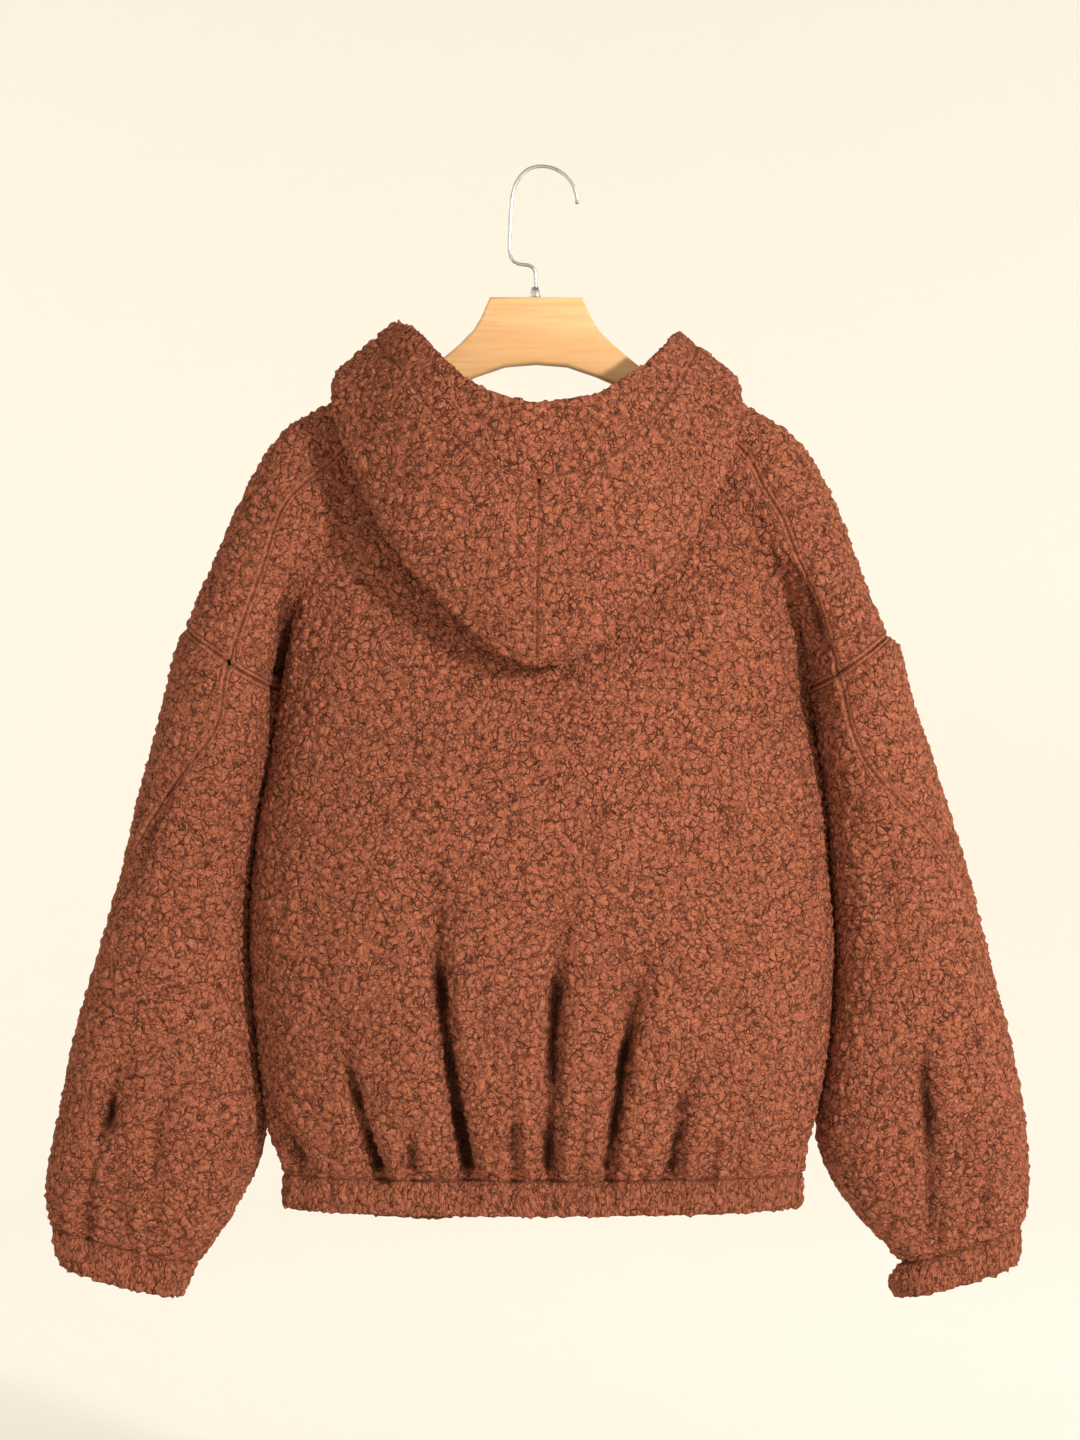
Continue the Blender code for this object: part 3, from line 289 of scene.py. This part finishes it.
def split_sheets(shape):
    """Outer faces, inner faces and the edges between a sheet and its rim."""
    across = [edge for edge in shape.edges if abs(edge.calc_length() - WALL) < RIM_SLACK]
    rim = {face for edge in across for face in edge.link_faces}
    sheets, seen = [], set(rim)
    for face in shape.faces:
        if face in seen:
            continue
        island, queue = set(), [face]
        seen.add(face)
        while queue:
            one = queue.pop()
            island.add(one)
            for edge in one.edges:
                for other in edge.link_faces:
                    if other not in seen:
                        seen.add(other)
                        queue.append(other)
        sheets.append(island)
    sheets.sort(key=lambda island: -sum(face.calc_area() for face in island))
    outer, inner = sheets[0], sheets[1]
    borders = [edge for edge in shape.edges
               if any(face in rim for face in edge.link_faces) and any(face not in rim for face in edge.link_faces)]
    return outer, inner, rim, borders


def seam_kind(node, other):
    """1 for a plain seam, up to 2 for one with a ridge on each side, as at the armholes."""
    names = {node.split("_")[0], other.split("_")[0]}
    if names in ({"back", "front"}, {"sleeve"}):
        return 1.5
    return 2 if "sleeve" in names and names & {"back", "front"} else 1


def edge_faces(edge, faces):
    return [face for face in edge.link_faces if face in faces]


class Piece:
    """Working copy of one cut piece's solid, with its two sides, rim and cut edges."""

    def __init__(self, node):
        self.node = node
        self.item = merged_copy(node, node + "_cloth")
        self.shape = bmesh.new()
        self.shape.from_mesh(self.item.data)
        self.side = self.shape.faces.layers.int.new("side")
        self.firm = self.shape.edges.layers.float.new("crease_edge")
        self.held = self.shape.verts.layers.float.new("crease_vert")
        self.sewn = self.shape.verts.layers.float.new("sewn")
        self.outer, self.inner, self.rim, self.borders = split_sheets(self.shape)
        self.cut = [edge for edge in self.borders if edge_faces(edge, self.outer)]
        self.cut_places = [vert.co.copy() for vert in {vert for edge in self.cut for vert in edge.verts}]

    def lap_seams(self, others, trees):
        """Mark cut edges that lie by another piece, and draw them on a little so that they meet it."""
        for sheet in (self.outer, self.inner):
            ways = {}
            for edge in self.borders:
                for face in edge_faces(edge, sheet):
                    along = (edge.verts[1].co - edge.verts[0].co).normalized()
                    out = (edge.verts[0].co + edge.verts[1].co) / 2 - face.calc_center_median()
                    out -= along * out.dot(along)
                    for vert in edge.verts:
                        ways.setdefault(vert, []).append(out.normalized())
            for vert, outs in ways.items():
                reach = [(trees[other].find(vert.co)[2], other) for other in others]
                near, other = min(reach)
                if near < SEAM_REACH + (WALL if sheet is self.inner else 0):
                    vert[self.sewn] = seam_kind(self.node, other)
                    way = sum(outs, Vector())
                    vert.co += way.normalized() * SEAM_LAP

    def quads(self):
        """Join the sides' triangles, hold corners and rims, and hand the mesh back to its object."""
        for faces, value in ((self.outer, 1), (self.inner, 2), (self.rim, 0)):
            for face in faces:
                face[self.side] = value
        around = {}
        for edge in self.borders:
            edge[self.firm] = 1.0
            for vert in edge.verts:
                around.setdefault(vert, []).append(edge.other_vert(vert).co - vert.co)
        for vert, ways in around.items():
            if len(ways) != 2 or ways[0].angle(-ways[1], 0) > CORNER_TURN:
                vert[self.held] = 1.0
        bmesh.ops.join_triangles(self.shape, faces=list(self.outer) + list(self.inner),
                                 angle_face_threshold=math.pi, angle_shape_threshold=math.pi, cmp_sharp=False)
        self.shape.to_mesh(self.item.data)
        self.shape.free()


def point_array(mesh):
    values = np.zeros(len(mesh.vertices) * 3)
    mesh.vertices.foreach_get("co", values)
    return values.reshape(-1, 3)


def smooth_through(item):
    """Subdivide so that the smooth surface goes through the piece's own points, not inside them."""
    wanted = point_array(item.data)
    subdivide = item.modifiers.new("smooth", "SUBSURF")
    subdivide.levels = subdivide.render_levels = 2
    control = wanted.copy()
    for _ in range(3):
        depsgraph = bpy.context.evaluated_depsgraph_get()
        reached = point_array(item.evaluated_get(depsgraph).data)[:len(wanted)]
        control += wanted - reached
        item.data.vertices.foreach_set("co", control.ravel())
        item.data.update()
        item.update_tag()
    apply_all(item)


def sheet_trees(item):
    """Search trees of the outer and inner side, and sewn points along the outer side with their kind."""
    mesh = item.data
    side = np.array([value.value for value in mesh.attributes["side"].data])
    sewn = np.array([value.value for value in mesh.attributes["sewn"].data])
    places = [vert.co.copy() for vert in mesh.vertices]
    polygons = [tuple(face.vertices) for face in mesh.polygons]
    outer = [polygons[k] for k in np.where(side == 1)[0]]
    inner = [polygons[k] for k in np.where(side == 2)[0]]
    count = {}
    for corners in outer:
        for a, b in zip(corners, corners[1:] + corners[:1]):
            count[(min(a, b), max(a, b))] = count.get((min(a, b), max(a, b)), 0) + 1
    seams, kinds = [], []
    for (a, b), uses in count.items():
        if uses == 1 and min(sewn[a], sewn[b]) > 0.6:
            for share in (0, 0.33, 0.67):
                seams.append(places[a].lerp(places[b], share))
                kinds.append(max((sewn[a] + sewn[b]) / 2 - 1, 0.0))
    return BVHTree.FromPolygons(places, outer), BVHTree.FromPolygons(places, inner), seams, kinds


def point_tree(points):
    tree = kdtree.KDTree(max(len(points), 1))
    for number, point in enumerate(points):
        tree.insert(point, number)
    tree.balance()
    return tree


def crease_relief(places, facing):
    """How far the creases push each point in, in metres, with a low ridge on each side of a trough."""
    x, drop = places[:, 0] / MM, -places[:, 2] / MM
    total = np.zeros(len(places))
    for c in CREASES:
        first = math.dist((c.x0, c.drop0), (c.x1, c.drop1))
        length = first + math.dist((c.x1, c.drop1), (c.x2, c.drop2))
        nearest, along = np.full(len(places), 1e9), np.zeros(len(places))
        for ax, ad, bx, bd, start in ((c.x0, c.drop0, c.x1, c.drop1, 0), (c.x1, c.drop1, c.x2, c.drop2, first)):
            run = math.dist((ax, ad), (bx, bd))
            t = np.clip(((x - ax) * (bx - ax) + (drop - ad) * (bd - ad)) / run ** 2, 0, 1)
            away = np.hypot(x - ax - t * (bx - ax), drop - ad - t * (bd - ad))
            closer = away < nearest
            nearest = np.where(closer, away, nearest)
            along = np.where(closer, (start + t * run) / length, along)
        uneven = 1 + 0.18 * np.sin(along * 9 + c.x0) + 0.1 * np.sin(along * 23 + c.drop0)
        here = smooth(along / 0.45) * (1 - 0.75 * smooth((along * length - length + 9) / 8))
        here *= smooth(facing * c.side * 2) * uneven
        trough = np.exp(-(nearest / c.width) ** 2)
        ridge = np.exp(-((nearest - 2.3 * c.width) / (1.3 * c.width)) ** 2)
        total += c.depth * here * (trough - 0.25 * ridge)
    return total * MM


def gathers(node, places):
    """Small waves of the cloth gathered by the elastic of hem and cuffs, in metres along the normal."""
    x, drop = places[:, 0] / MM, -places[:, 2] / MM
    wave = np.sin(x / 3.1 + 1.3 * np.sin(x / 17.0)) + 0.6 * np.sin(x / 1.9 + 2.0 * np.sin(x / 29.0))
    if node.startswith("hem"):
        return 0.55 * wave * MM
    if node.startswith("cuff"):
        return 0.6 * wave * MM
    if node == "back" or node.startswith("front"):
        return 0.9 * wave * smooth((drop - 728) / 50) * MM
    if node.startswith("sleeve"):
        return 0.9 * wave * smooth((drop - 790) / 40) * MM
    return np.zeros(len(places))


def side_lift(node, places, outward):
    """Pile of sleeves and body pressed towards each other below the armholes, in metres along the normal."""
    side, drop = np.sign(places[:, 0]), -places[:, 2] / MM
    if node.startswith("sleeve"):
        faces = -side * outward[:, 0]
    elif node == "back" or node.startswith("front"):
        faces = side * outward[:, 0]
    else:
        return np.zeros(len(places))
    return SIDE_LIFT * smooth(faces * 2 - 0.6) * smooth((drop - 340) / 30) * smooth((800 - drop) / 60)


def build_cloth():
    """All cut pieces as remeshed shells with their side and seam attributes."""
    pieces = {node: Piece(node) for node in CUT}
    trees = {node: point_tree(piece.cut_places) for node, piece in pieces.items()}
    for node, piece in pieces.items():
        piece.lap_seams([other for other in CUT if other != node], trees)
        piece.quads()
        smooth_through(piece.item)
        finish_cloth(node, piece.item, *sheet_trees(piece.item))
    return {node: piece.item for node, piece in pieces.items()}


def finish_cloth(node, item, outer, inner, seams, kinds):
    remesh = item.modifiers.new("even", "REMESH")
    remesh.mode = "VOXEL"
    remesh.voxel_size = VOXEL
    apply_all(item)
    mesh = item.data
    places = point_array(mesh)
    count = len(places)
    inside, outward = np.zeros(count), np.zeros((count, 3))
    seam, ridged = np.full(count, 99.0), np.zeros(count)
    tree = point_tree(seams)
    for k in range(count):
        place = Vector(places[k])
        _, normal, _, to_outer = outer.find_nearest(place)
        _, _, _, to_inner = inner.find_nearest(place)
        inside[k] = (to_outer - to_inner) / WALL
        outward[k] = normal
        if seams:
            _, number, distance = tree.find(place)
            seam[k] = max(distance - SEAM_LAP, 0) / MM
            ridged[k] = kinds[number]
    hollow = crease_relief(places, outward[:, 1])
    shift = gathers(node, places) + side_lift(node, places, outward) - hollow
    places += outward * shift[:, None]
    mesh.vertices.foreach_set("co", places.ravel())
    stretch = GATHERED if node.split("_")[0] in ("hem", "cuff") else (1, 1, 1)
    rest = mesh.attributes.new("rest", "FLOAT_VECTOR", "POINT")
    rest.data.foreach_set("vector", (places * stretch).ravel())
    # hollow, the creases' depth, also darkens the pile's colour in the shader as painted shade
    kept = {"inside": smooth(inside * 0.5 + 0.5), "seam": seam, "ridged": ridged, "hollow": hollow / MM}
    for name, values in kept.items():
        layer = mesh.attributes.new(name, "FLOAT", "POINT")
        layer.data.foreach_set("value", values)
    mesh.update()
    make_active(item)
    bpy.ops.object.shade_smooth()


def pile_tree():
    """Geometry nodes that raise the pile; "rest" holds each point's place before it."""
    tree = bpy.data.node_groups.new("sherpa pile", "GeometryNodeTree")
    tree.interface.new_socket("Geometry", in_out="INPUT", socket_type="NodeSocketGeometry")
    tree.interface.new_socket("Geometry", in_out="OUTPUT", socket_type="NodeSocketGeometry")
    graph = Graph(tree)
    start = graph.node("NodeGroupInput", {}, {})
    normal = graph.node("GeometryNodeInputNormal", {}, {})
    place = graph.node("GeometryNodeInputNamedAttribute", {"data_type": "FLOAT_VECTOR"}, {"Name": "rest"})
    read = {name: graph.node("GeometryNodeInputNamedAttribute", {"data_type": "FLOAT"}, {"Name": name})
            for name in ("inside", "seam", "ridged")}
    _, clump, lump, _ = pile(graph, place)
    away = pile_stands(read["seam"], read["ridged"])
    height = clump.step(0.0, 0.4) * CLUMP_HEIGHT + lump.step(0.0, 0.4) * LUMP_HEIGHT
    height = (height - PILE_DEPTH) * away + PILE_LIFT
    groove = read["seam"].step(0.0, GROOVE_WIDTH, 1.0, 0.0) * (read["ridged"] * (0.2 * MM) + GROOVE_DEPTH)
    height = (height - groove) * (1 - read["inside"])
    moved = graph.node("ShaderNodeVectorMath", {"operation": "SCALE"}, {0: normal, "Scale": height})
    raised = graph.node("GeometryNodeSetPosition", {}, {"Geometry": start, "Offset": moved})
    graph.node("NodeGroupOutput", {}, {"Geometry": raised})
    return tree


def pile_stands(seam, ridged):
    """1 where the pile stands free, less beside a seam, where stitches flatten it."""
    plain = seam.step(0.3, 2.2, 0.6, 1.0)
    return plain * (1 - ridged) + seam.step(2.0, 5.5, 0.35, 1.0) * ridged


def shader(name):
    material = bpy.data.materials.new(name)
    material.use_nodes = True
    graph = Graph(material.node_tree)
    surface = material.node_tree.nodes["Principled BSDF"]
    return material, graph, surface


def connect(graph, surface, **links):
    for name, link in links.items():
        graph.tree.links.new(link.socket, surface.inputs[name.replace("_", " ")])


def attribute(graph, name, output=2):
    return graph.node("ShaderNodeAttribute", {"attribute_name": name}, {}, output)


def sherpa_material():
    material, graph, surface = shader("sherpa pile")
    place = attribute(graph, "rest", output=1)
    inside, seam, ridged, hollow = (attribute(graph, name) for name in ("inside", "seam", "ridged", "hollow"))
    crack, clump, lump, crinkle = pile(graph, place)
    away = pile_stands(seam, ridged)
    fibre = graph.noise(place, FIBRE, 2.0, 0.6)
    drift = graph.noise(place, 60 * MM, 2.0, 0.5)
    tone = graph.noise(place, 6 * MM, 2.0, 0.5)
    stitch = seam.bell(STITCH_ROWS[0], 1.2) * (ridged * 0.3 + 0.35) + seam.bell(STITCH_ROWS[1], 1.0) * ridged * 0.6
    top = graph.mix(drift.step(0.3, 0.7), PILE_DEEP, PILE_MAIN)
    top = graph.mix(tone.step(0.35, 0.7) * 0.25, top, PILE_PALE)
    top = graph.mix(fibre.step(0.35, 0.75) * 0.45, top, PILE_PALE)
    # painted shade: the crinkles' valleys darkened towards PILE_SHADE
    curl_valley_shade = (1 - crinkle) * 0.25 * away
    pile_colour = graph.mix(curl_valley_shade, top, PILE_SHADE)
    # painted shade: the creases' colour darkens with their depth towards the darkest pile colour
    pile_colour = graph.mix(hollow.step(1.5, 6.5), pile_colour, PILE_DEEP_SHADE_AND_STITCH)
    # painted shade: the cracks between the pile's clumps darkened towards the darkest pile colour
    pile_colour = graph.mix((crack * away * 0.88).clamp(), pile_colour, PILE_DEEP_SHADE_AND_STITCH)
    pile_colour = graph.mix(stitch, pile_colour, PILE_DEEP_SHADE_AND_STITCH)
    rib = graph.noise(graph.vector("MULTIPLY", place, (1.0, 1.0, 0.35)), 1.6 * MM, 2.0, 0.5)
    lining = graph.mix(rib.step(0.3, 0.7), LINING_DARK, LINING_PALE)
    colour = graph.mix(inside, pile_colour, lining)
    ridges = seam.bell(1.9, 1.6) * ridged * (1.0 * MM)
    height = (1 - crack) * BUMP_CRACK + clump.step(0.0, 0.4) * BUMP_CLUMP + lump.step(0.0, 0.45) * BUMP_LUMP
    height = height + crinkle * BUMP_CRINKLE
    height = height * away + fibre * BUMP_FIBRE + ridges - stitch * (0.8 * MM)
    height = height * (1 - inside) + rib * inside * (0.25 * MM)
    bump = graph.node("ShaderNodeBump", {}, {"Strength": 1.0, "Distance": 1.3, "Height": height})
    connect(graph, surface, Base_Color=colour, Normal=bump)
    surface.inputs["Roughness"].default_value = 0.95
    surface.inputs["Sheen Weight"].default_value = 0.06
    surface.inputs["Sheen Roughness"].default_value = 0.5
    surface.inputs["Sheen Tint"].default_value = (1.0, 0.5, 0.3, 1)
    surface.inputs["Specular IOR Level"].default_value = 0.1
    return material


def wood_material():
    material, graph, surface = shader("beech")
    place = graph.node("ShaderNodeTexCoord", {}, {}, output=3)
    grain_place = graph.vector("MULTIPLY", place, (0.10, 1.0, 1.0))
    wander = graph.noise(grain_place, 14 * MM, 2.0, 0.5)
    rings = graph.noise(graph.vector("MULTIPLY", place, (0.06, 0.5, 1.0)), 3.2 * MM, 3.0, 0.55)
    pores = graph.noise(graph.vector("MULTIPLY", place, (0.05, 1.0, 1.0)), 0.5 * MM, 2.0, 0.6)
    colour = graph.mix(wander.step(0.3, 0.7), WOOD_MAIN, WOOD_PALE)
    colour = graph.mix(rings.step(0.45, 0.7) * 0.35, colour, WOOD_RINGS)
    colour = graph.mix(pores.step(0.62, 0.72) * 0.4, colour, WOOD_PORES)
    height = rings * 0.10 * MM + pores * 0.06 * MM
    bump = graph.node("ShaderNodeBump", {}, {"Strength": 0.6, "Distance": 1.0, "Height": height})
    connect(graph, surface, Base_Color=colour, Normal=bump, Roughness=rings.step(0.2, 0.8, 0.32, 0.46))
    surface.inputs["Coat Weight"].default_value = 0.15
    surface.inputs["Coat Roughness"].default_value = 0.25
    return material


def metal_material(name, colour, dark, roughness, size):
    material, graph, surface = shader(name)
    place = graph.node("ShaderNodeTexCoord", {}, {}, output=3)
    wear = graph.noise(place, size, 3.0, 0.6)
    tone = graph.mix(wear.step(0.35, 0.7), colour, dark)
    scratch = graph.noise(graph.vector("MULTIPLY", place, (1.0, 1.0, 0.15)), 0.4 * MM, 2.0, 0.5)
    bump = graph.node("ShaderNodeBump", {}, {"Strength": 0.4, "Distance": 1.0, "Height": scratch * 0.02 * MM})
    connect(graph, surface, Base_Color=tone, Normal=bump,
            Roughness=wear.step(0.3, 0.8, roughness, roughness + 0.18))
    surface.inputs["Metallic"].default_value = 1.0
    return material


def tape_material():
    material, graph, surface = shader("woven tape")
    place = graph.node("ShaderNodeTexCoord", {}, {}, output=3)
    split = graph.node("ShaderNodeSeparateXYZ", {}, {"Vector": place})
    x = split
    z = Link(graph, split.socket.node.outputs[2])
    across = ((x + z * 0.55) * (2 * math.pi / (0.9 * MM))).maths("SINE")
    along = (z * (2 * math.pi / (0.7 * MM))).maths("SINE")
    weave = (across * 0.6 + along * 0.4) * 0.5 + 0.5
    colour = graph.mix(weave.clamp(), TAPE_DARK, TAPE_PALE)
    bump = graph.node("ShaderNodeBump", {}, {"Strength": 0.5, "Distance": 1.0, "Height": weave * 0.15 * MM})
    connect(graph, surface, Base_Color=colour, Normal=bump)
    surface.inputs["Roughness"].default_value = 0.8
    return material


def smooth_copy(node, name, material, angle, body=JACKET, rounding=0.0):
    """A hard node's own form with its small facets shaded smooth, and its edges rounded where asked."""
    item = merged_copy(node, name)
    if rounding:
        bevel = item.modifiers.new("round", "BEVEL")
        bevel.width = rounding
        bevel.segments = 2
        bevel.limit_method = "ANGLE"
        bevel.angle_limit = math.radians(50)
        apply_all(item)
    item.data.materials.append(material)
    make_active(item)
    bpy.ops.object.shade_smooth_by_angle(angle=math.radians(angle))
    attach(item, body)
    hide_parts(node)
    return item


def bead_path(node):
    """Middle of the teeth bead down a zip tape, from the top."""
    places = np.array([vert.co for vert in frame["nodes"][node].data.vertices])
    places = np.unique(np.round(places, 6), axis=0)
    edge = places[np.abs(places[:, 0]) < 0.7 * MM]
    edge = edge[np.argsort(-edge[:, 2])]
    front = edge[edge[:, 1] > 0]
    pairs = front[: len(front) // 2 * 2].reshape(-1, 2, 3).mean(axis=1)
    return pairs


def zip_teeth(name, side, material):
    """Row of cast teeth clamped on the bead, one tooth modelled and then repeated."""
    first = TEETH_START + (0.0 if side < 0 else TOOTH_PITCH / 2)
    path = bead_path("zip_tape_left" if side < 0 else "zip_tape_right")
    length = np.concatenate([[0], np.cumsum(np.linalg.norm(np.diff(path, axis=0), axis=1))])
    deselect()
    bpy.ops.mesh.primitive_cube_add(size=1, location=(0, 0, 0))
    tooth = bpy.context.object
    tooth.scale = TOOTH_SIZE
    tooth.location = (side * TOOTH_FROM_MIDDLE, 0, 0)
    bpy.ops.object.transform_apply(location=True, rotation=True, scale=True)
    bevel = tooth.modifiers.new("round", "BEVEL")
    bevel.width = 0.3 * MM
    bevel.segments = 1
    apply_all(tooth)
    shape = bmesh.new()
    for place in np.arange(first, length[-1] - TEETH_STOP, TOOTH_PITCH):
        here = np.array([np.interp(place, length, path[:, k]) for k in range(3)])
        there = np.array([np.interp(place + 1 * MM, length, path[:, k]) for k in range(3)])
        tilt = math.atan2(there[1] - here[1], here[2] - there[2])
        before = len(shape.verts)
        shape.from_mesh(tooth.data)
        shape.verts.ensure_lookup_table()
        for vert in shape.verts[before:]:
            x, y, z = vert.co
            vert.co = (x, here[1] + y * math.cos(tilt) - z * math.sin(tilt),
                       here[2] + z * math.cos(tilt) + y * math.sin(tilt))
    mesh = bpy.data.meshes.new(name)
    shape.to_mesh(mesh)
    shape.free()
    bpy.data.objects.remove(tooth)
    item = new_object(name, mesh)
    mesh.materials.append(material)
    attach(item, JACKET)
    return item


def rounded_box(name, size, place, tilt, width, segments=3):
    deselect()
    bpy.ops.mesh.primitive_cube_add(size=1, location=(0, 0, 0))
    item = bpy.context.object
    item.name = item.data.name = name
    item.scale = [n * MM for n in size]
    bpy.ops.object.transform_apply(location=False, rotation=False, scale=True)
    bevel = item.modifiers.new("round", "BEVEL")
    bevel.width = width * MM
    bevel.segments = segments
    apply_all(item)
    item.rotation_euler = (tilt, 0, 0)
    item.location = place
    bpy.ops.object.transform_apply(location=True, rotation=True, scale=False)
    return item


def join(name, items):
    deselect()
    for item in items:
        item.select_set(True)
    bpy.context.view_layer.objects.active = items[0]
    bpy.ops.object.join()
    joined = bpy.context.object
    joined.name = joined.data.name = name
    return joined


def zip_slider(material):
    """Slider body with its rails and ears, and the pull tab that swings on it."""
    pull = next(joint for joint in frame["joints"] if joint["name"] == "zip_pull_swing")
    pivot = Vector(pull["pos_m"])
    tilt = SLIDER_TILT
    out = Vector((0, math.cos(tilt), math.sin(tilt)))
    up = Vector((0, -math.sin(tilt), math.cos(tilt)))
    body = pivot - out * 3.5 * MM - up * 1.5 * MM
    plate = rounded_box("zip_slider_body", (7.2, 3.4, 11.0), body, tilt, 1.1)
    rails = [rounded_box("rail", (1.0, 0.9, 8.6), body + out * 1.9 * MM + Vector((x * MM, 0, 0)), tilt, 0.3)
             for x in (-2.9, 2.9)]
    ears = [rounded_box("ear", (1.1, 3.2, 3.6), pivot - out * 0.25 * MM + Vector((x * MM, 0, 0)), tilt, 0.5)
            for x in (-2.6, 2.6)]
    slider = join("zip_slider_body", [plate] + rails + ears)
    slider.data.materials.append(material)
    make_active(slider)
    bpy.ops.object.shade_smooth_by_angle(angle=math.radians(40))
    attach(slider, JACKET)
    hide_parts("zip_slider")
    smooth_copy("zip_pull", "zip_pull_tab", material, 40, "pull_tab", 0.35 * MM)


def stage():
    """Pale floor that rises into a wall all round, out of the camera's way from any side."""
    floor_z, radius, corner, height = -1.30, 4.0, 1.2, 5.0
    profile = [(0.0, floor_z), (radius - corner, floor_z)]
    for step in range(1, 13):
        turn = math.pi / 2 * step / 12
        profile.append((radius - corner + corner * math.sin(turn), floor_z + corner - corner * math.cos(turn)))
    profile.append((radius, height))
    shape = bmesh.new()
    around = 96
    rings = [[shape.verts.new((r * math.cos(2 * math.pi * k / around), r * math.sin(2 * math.pi * k / around), z))
              for k in range(around)] for r, z in profile[1:]]
    centre = shape.verts.new((0, 0, floor_z))
    for k in range(around):
        shape.faces.new((centre, rings[0][k], rings[0][(k + 1) % around]))
        for low, high in zip(rings, rings[1:]):
            shape.faces.new((low[k], high[k], high[(k + 1) % around], low[(k + 1) % around]))
    bmesh.ops.recalc_face_normals(shape, faces=shape.faces)
    bmesh.ops.reverse_faces(shape, faces=shape.faces)
    mesh = bpy.data.meshes.new("floor")
    shape.to_mesh(mesh)
    shape.free()
    for face in mesh.polygons:
        face.use_smooth = True
    floor = new_object("floor", mesh)
    material, _, surface = shader("pale floor")
    surface.inputs["Base Color"].default_value = (0.84, 0.82, 0.77, 1)
    surface.inputs["Roughness"].default_value = 0.9
    surface.inputs["Emission Color"].default_value = (1.0, 0.94, 0.82, 1)
    surface.inputs["Emission Strength"].default_value = 0.12
    mesh.materials.append(material)
    return floor


def area_light(lamp):
    data = bpy.data.lights.new(lamp.name, "AREA")
    data.shape = "DISK"
    data.size = lamp.size
    data.energy = lamp.power
    data.color = lamp.colour
    item = bpy.data.objects.new(lamp.name, data)
    bpy.context.scene.collection.objects.link(item)
    item.location = lamp.place
    item.rotation_euler = (Vector(lamp.aim) - Vector(lamp.place)).to_track_quat("-Z", "Y").to_euler()


def light_and_camera():
    for lamp in LAMPS:
        area_light(lamp)
    world = bpy.data.worlds.new("studio")
    world.use_nodes = True
    world.node_tree.nodes["Background"].inputs["Color"].default_value = (1.0, 0.97, 0.92, 1)
    world.node_tree.nodes["Background"].inputs["Strength"].default_value = 0.32
    bpy.context.scene.world = world
    bpy.context.scene.view_settings.view_transform = "Standard"
    data = bpy.data.cameras.new("camera")
    data.lens = 70.5
    data.sensor_width = 36
    data.clip_start = 0.05
    camera = bpy.data.objects.new("camera", data)
    bpy.context.scene.collection.objects.link(camera)
    camera.location = (0, -2.2, -0.4306)
    camera.rotation_euler = (math.pi / 2, 0, 0)
    bpy.context.scene.camera = camera


SHERPA = sherpa_material()
METAL = metal_material("zip metal", (0.42, 0.36, 0.28, 1), (0.25, 0.21, 0.16, 1), 0.32, 3 * MM)
STEEL = metal_material("bright wire", (0.72, 0.71, 0.69, 1), (0.50, 0.49, 0.47, 1), 0.18, 8 * MM)
BEECH = wood_material()
TAPE = tape_material()

PILE = pile_tree()
for node_name, cloth in build_cloth().items():
    cloth.data.materials.clear()
    cloth.data.materials.append(SHERPA)
    raise_pile = cloth.modifiers.new("pile", "NODES")
    raise_pile.node_group = PILE
    apply_all(cloth)
    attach(cloth, JACKET)
    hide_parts(node_name)

smooth_copy("hanger", "hanger_body", BEECH, 32)
smooth_copy("hanger_hook", "hook_wire", STEEL, 70)
smooth_copy("hanger_ferrule", "hook_ferrule", STEEL, 40)
for tape_node in ("zip_tape_left", "zip_tape_right"):
    tape = frame["nodes"][tape_node]
    for material_slot in tape.material_slots:
        material_slot.material = TAPE
zip_teeth("zip_teeth_left", -1, METAL)
zip_teeth("zip_teeth_right", 1, METAL)
zip_slider(METAL)
stage()
light_and_camera()
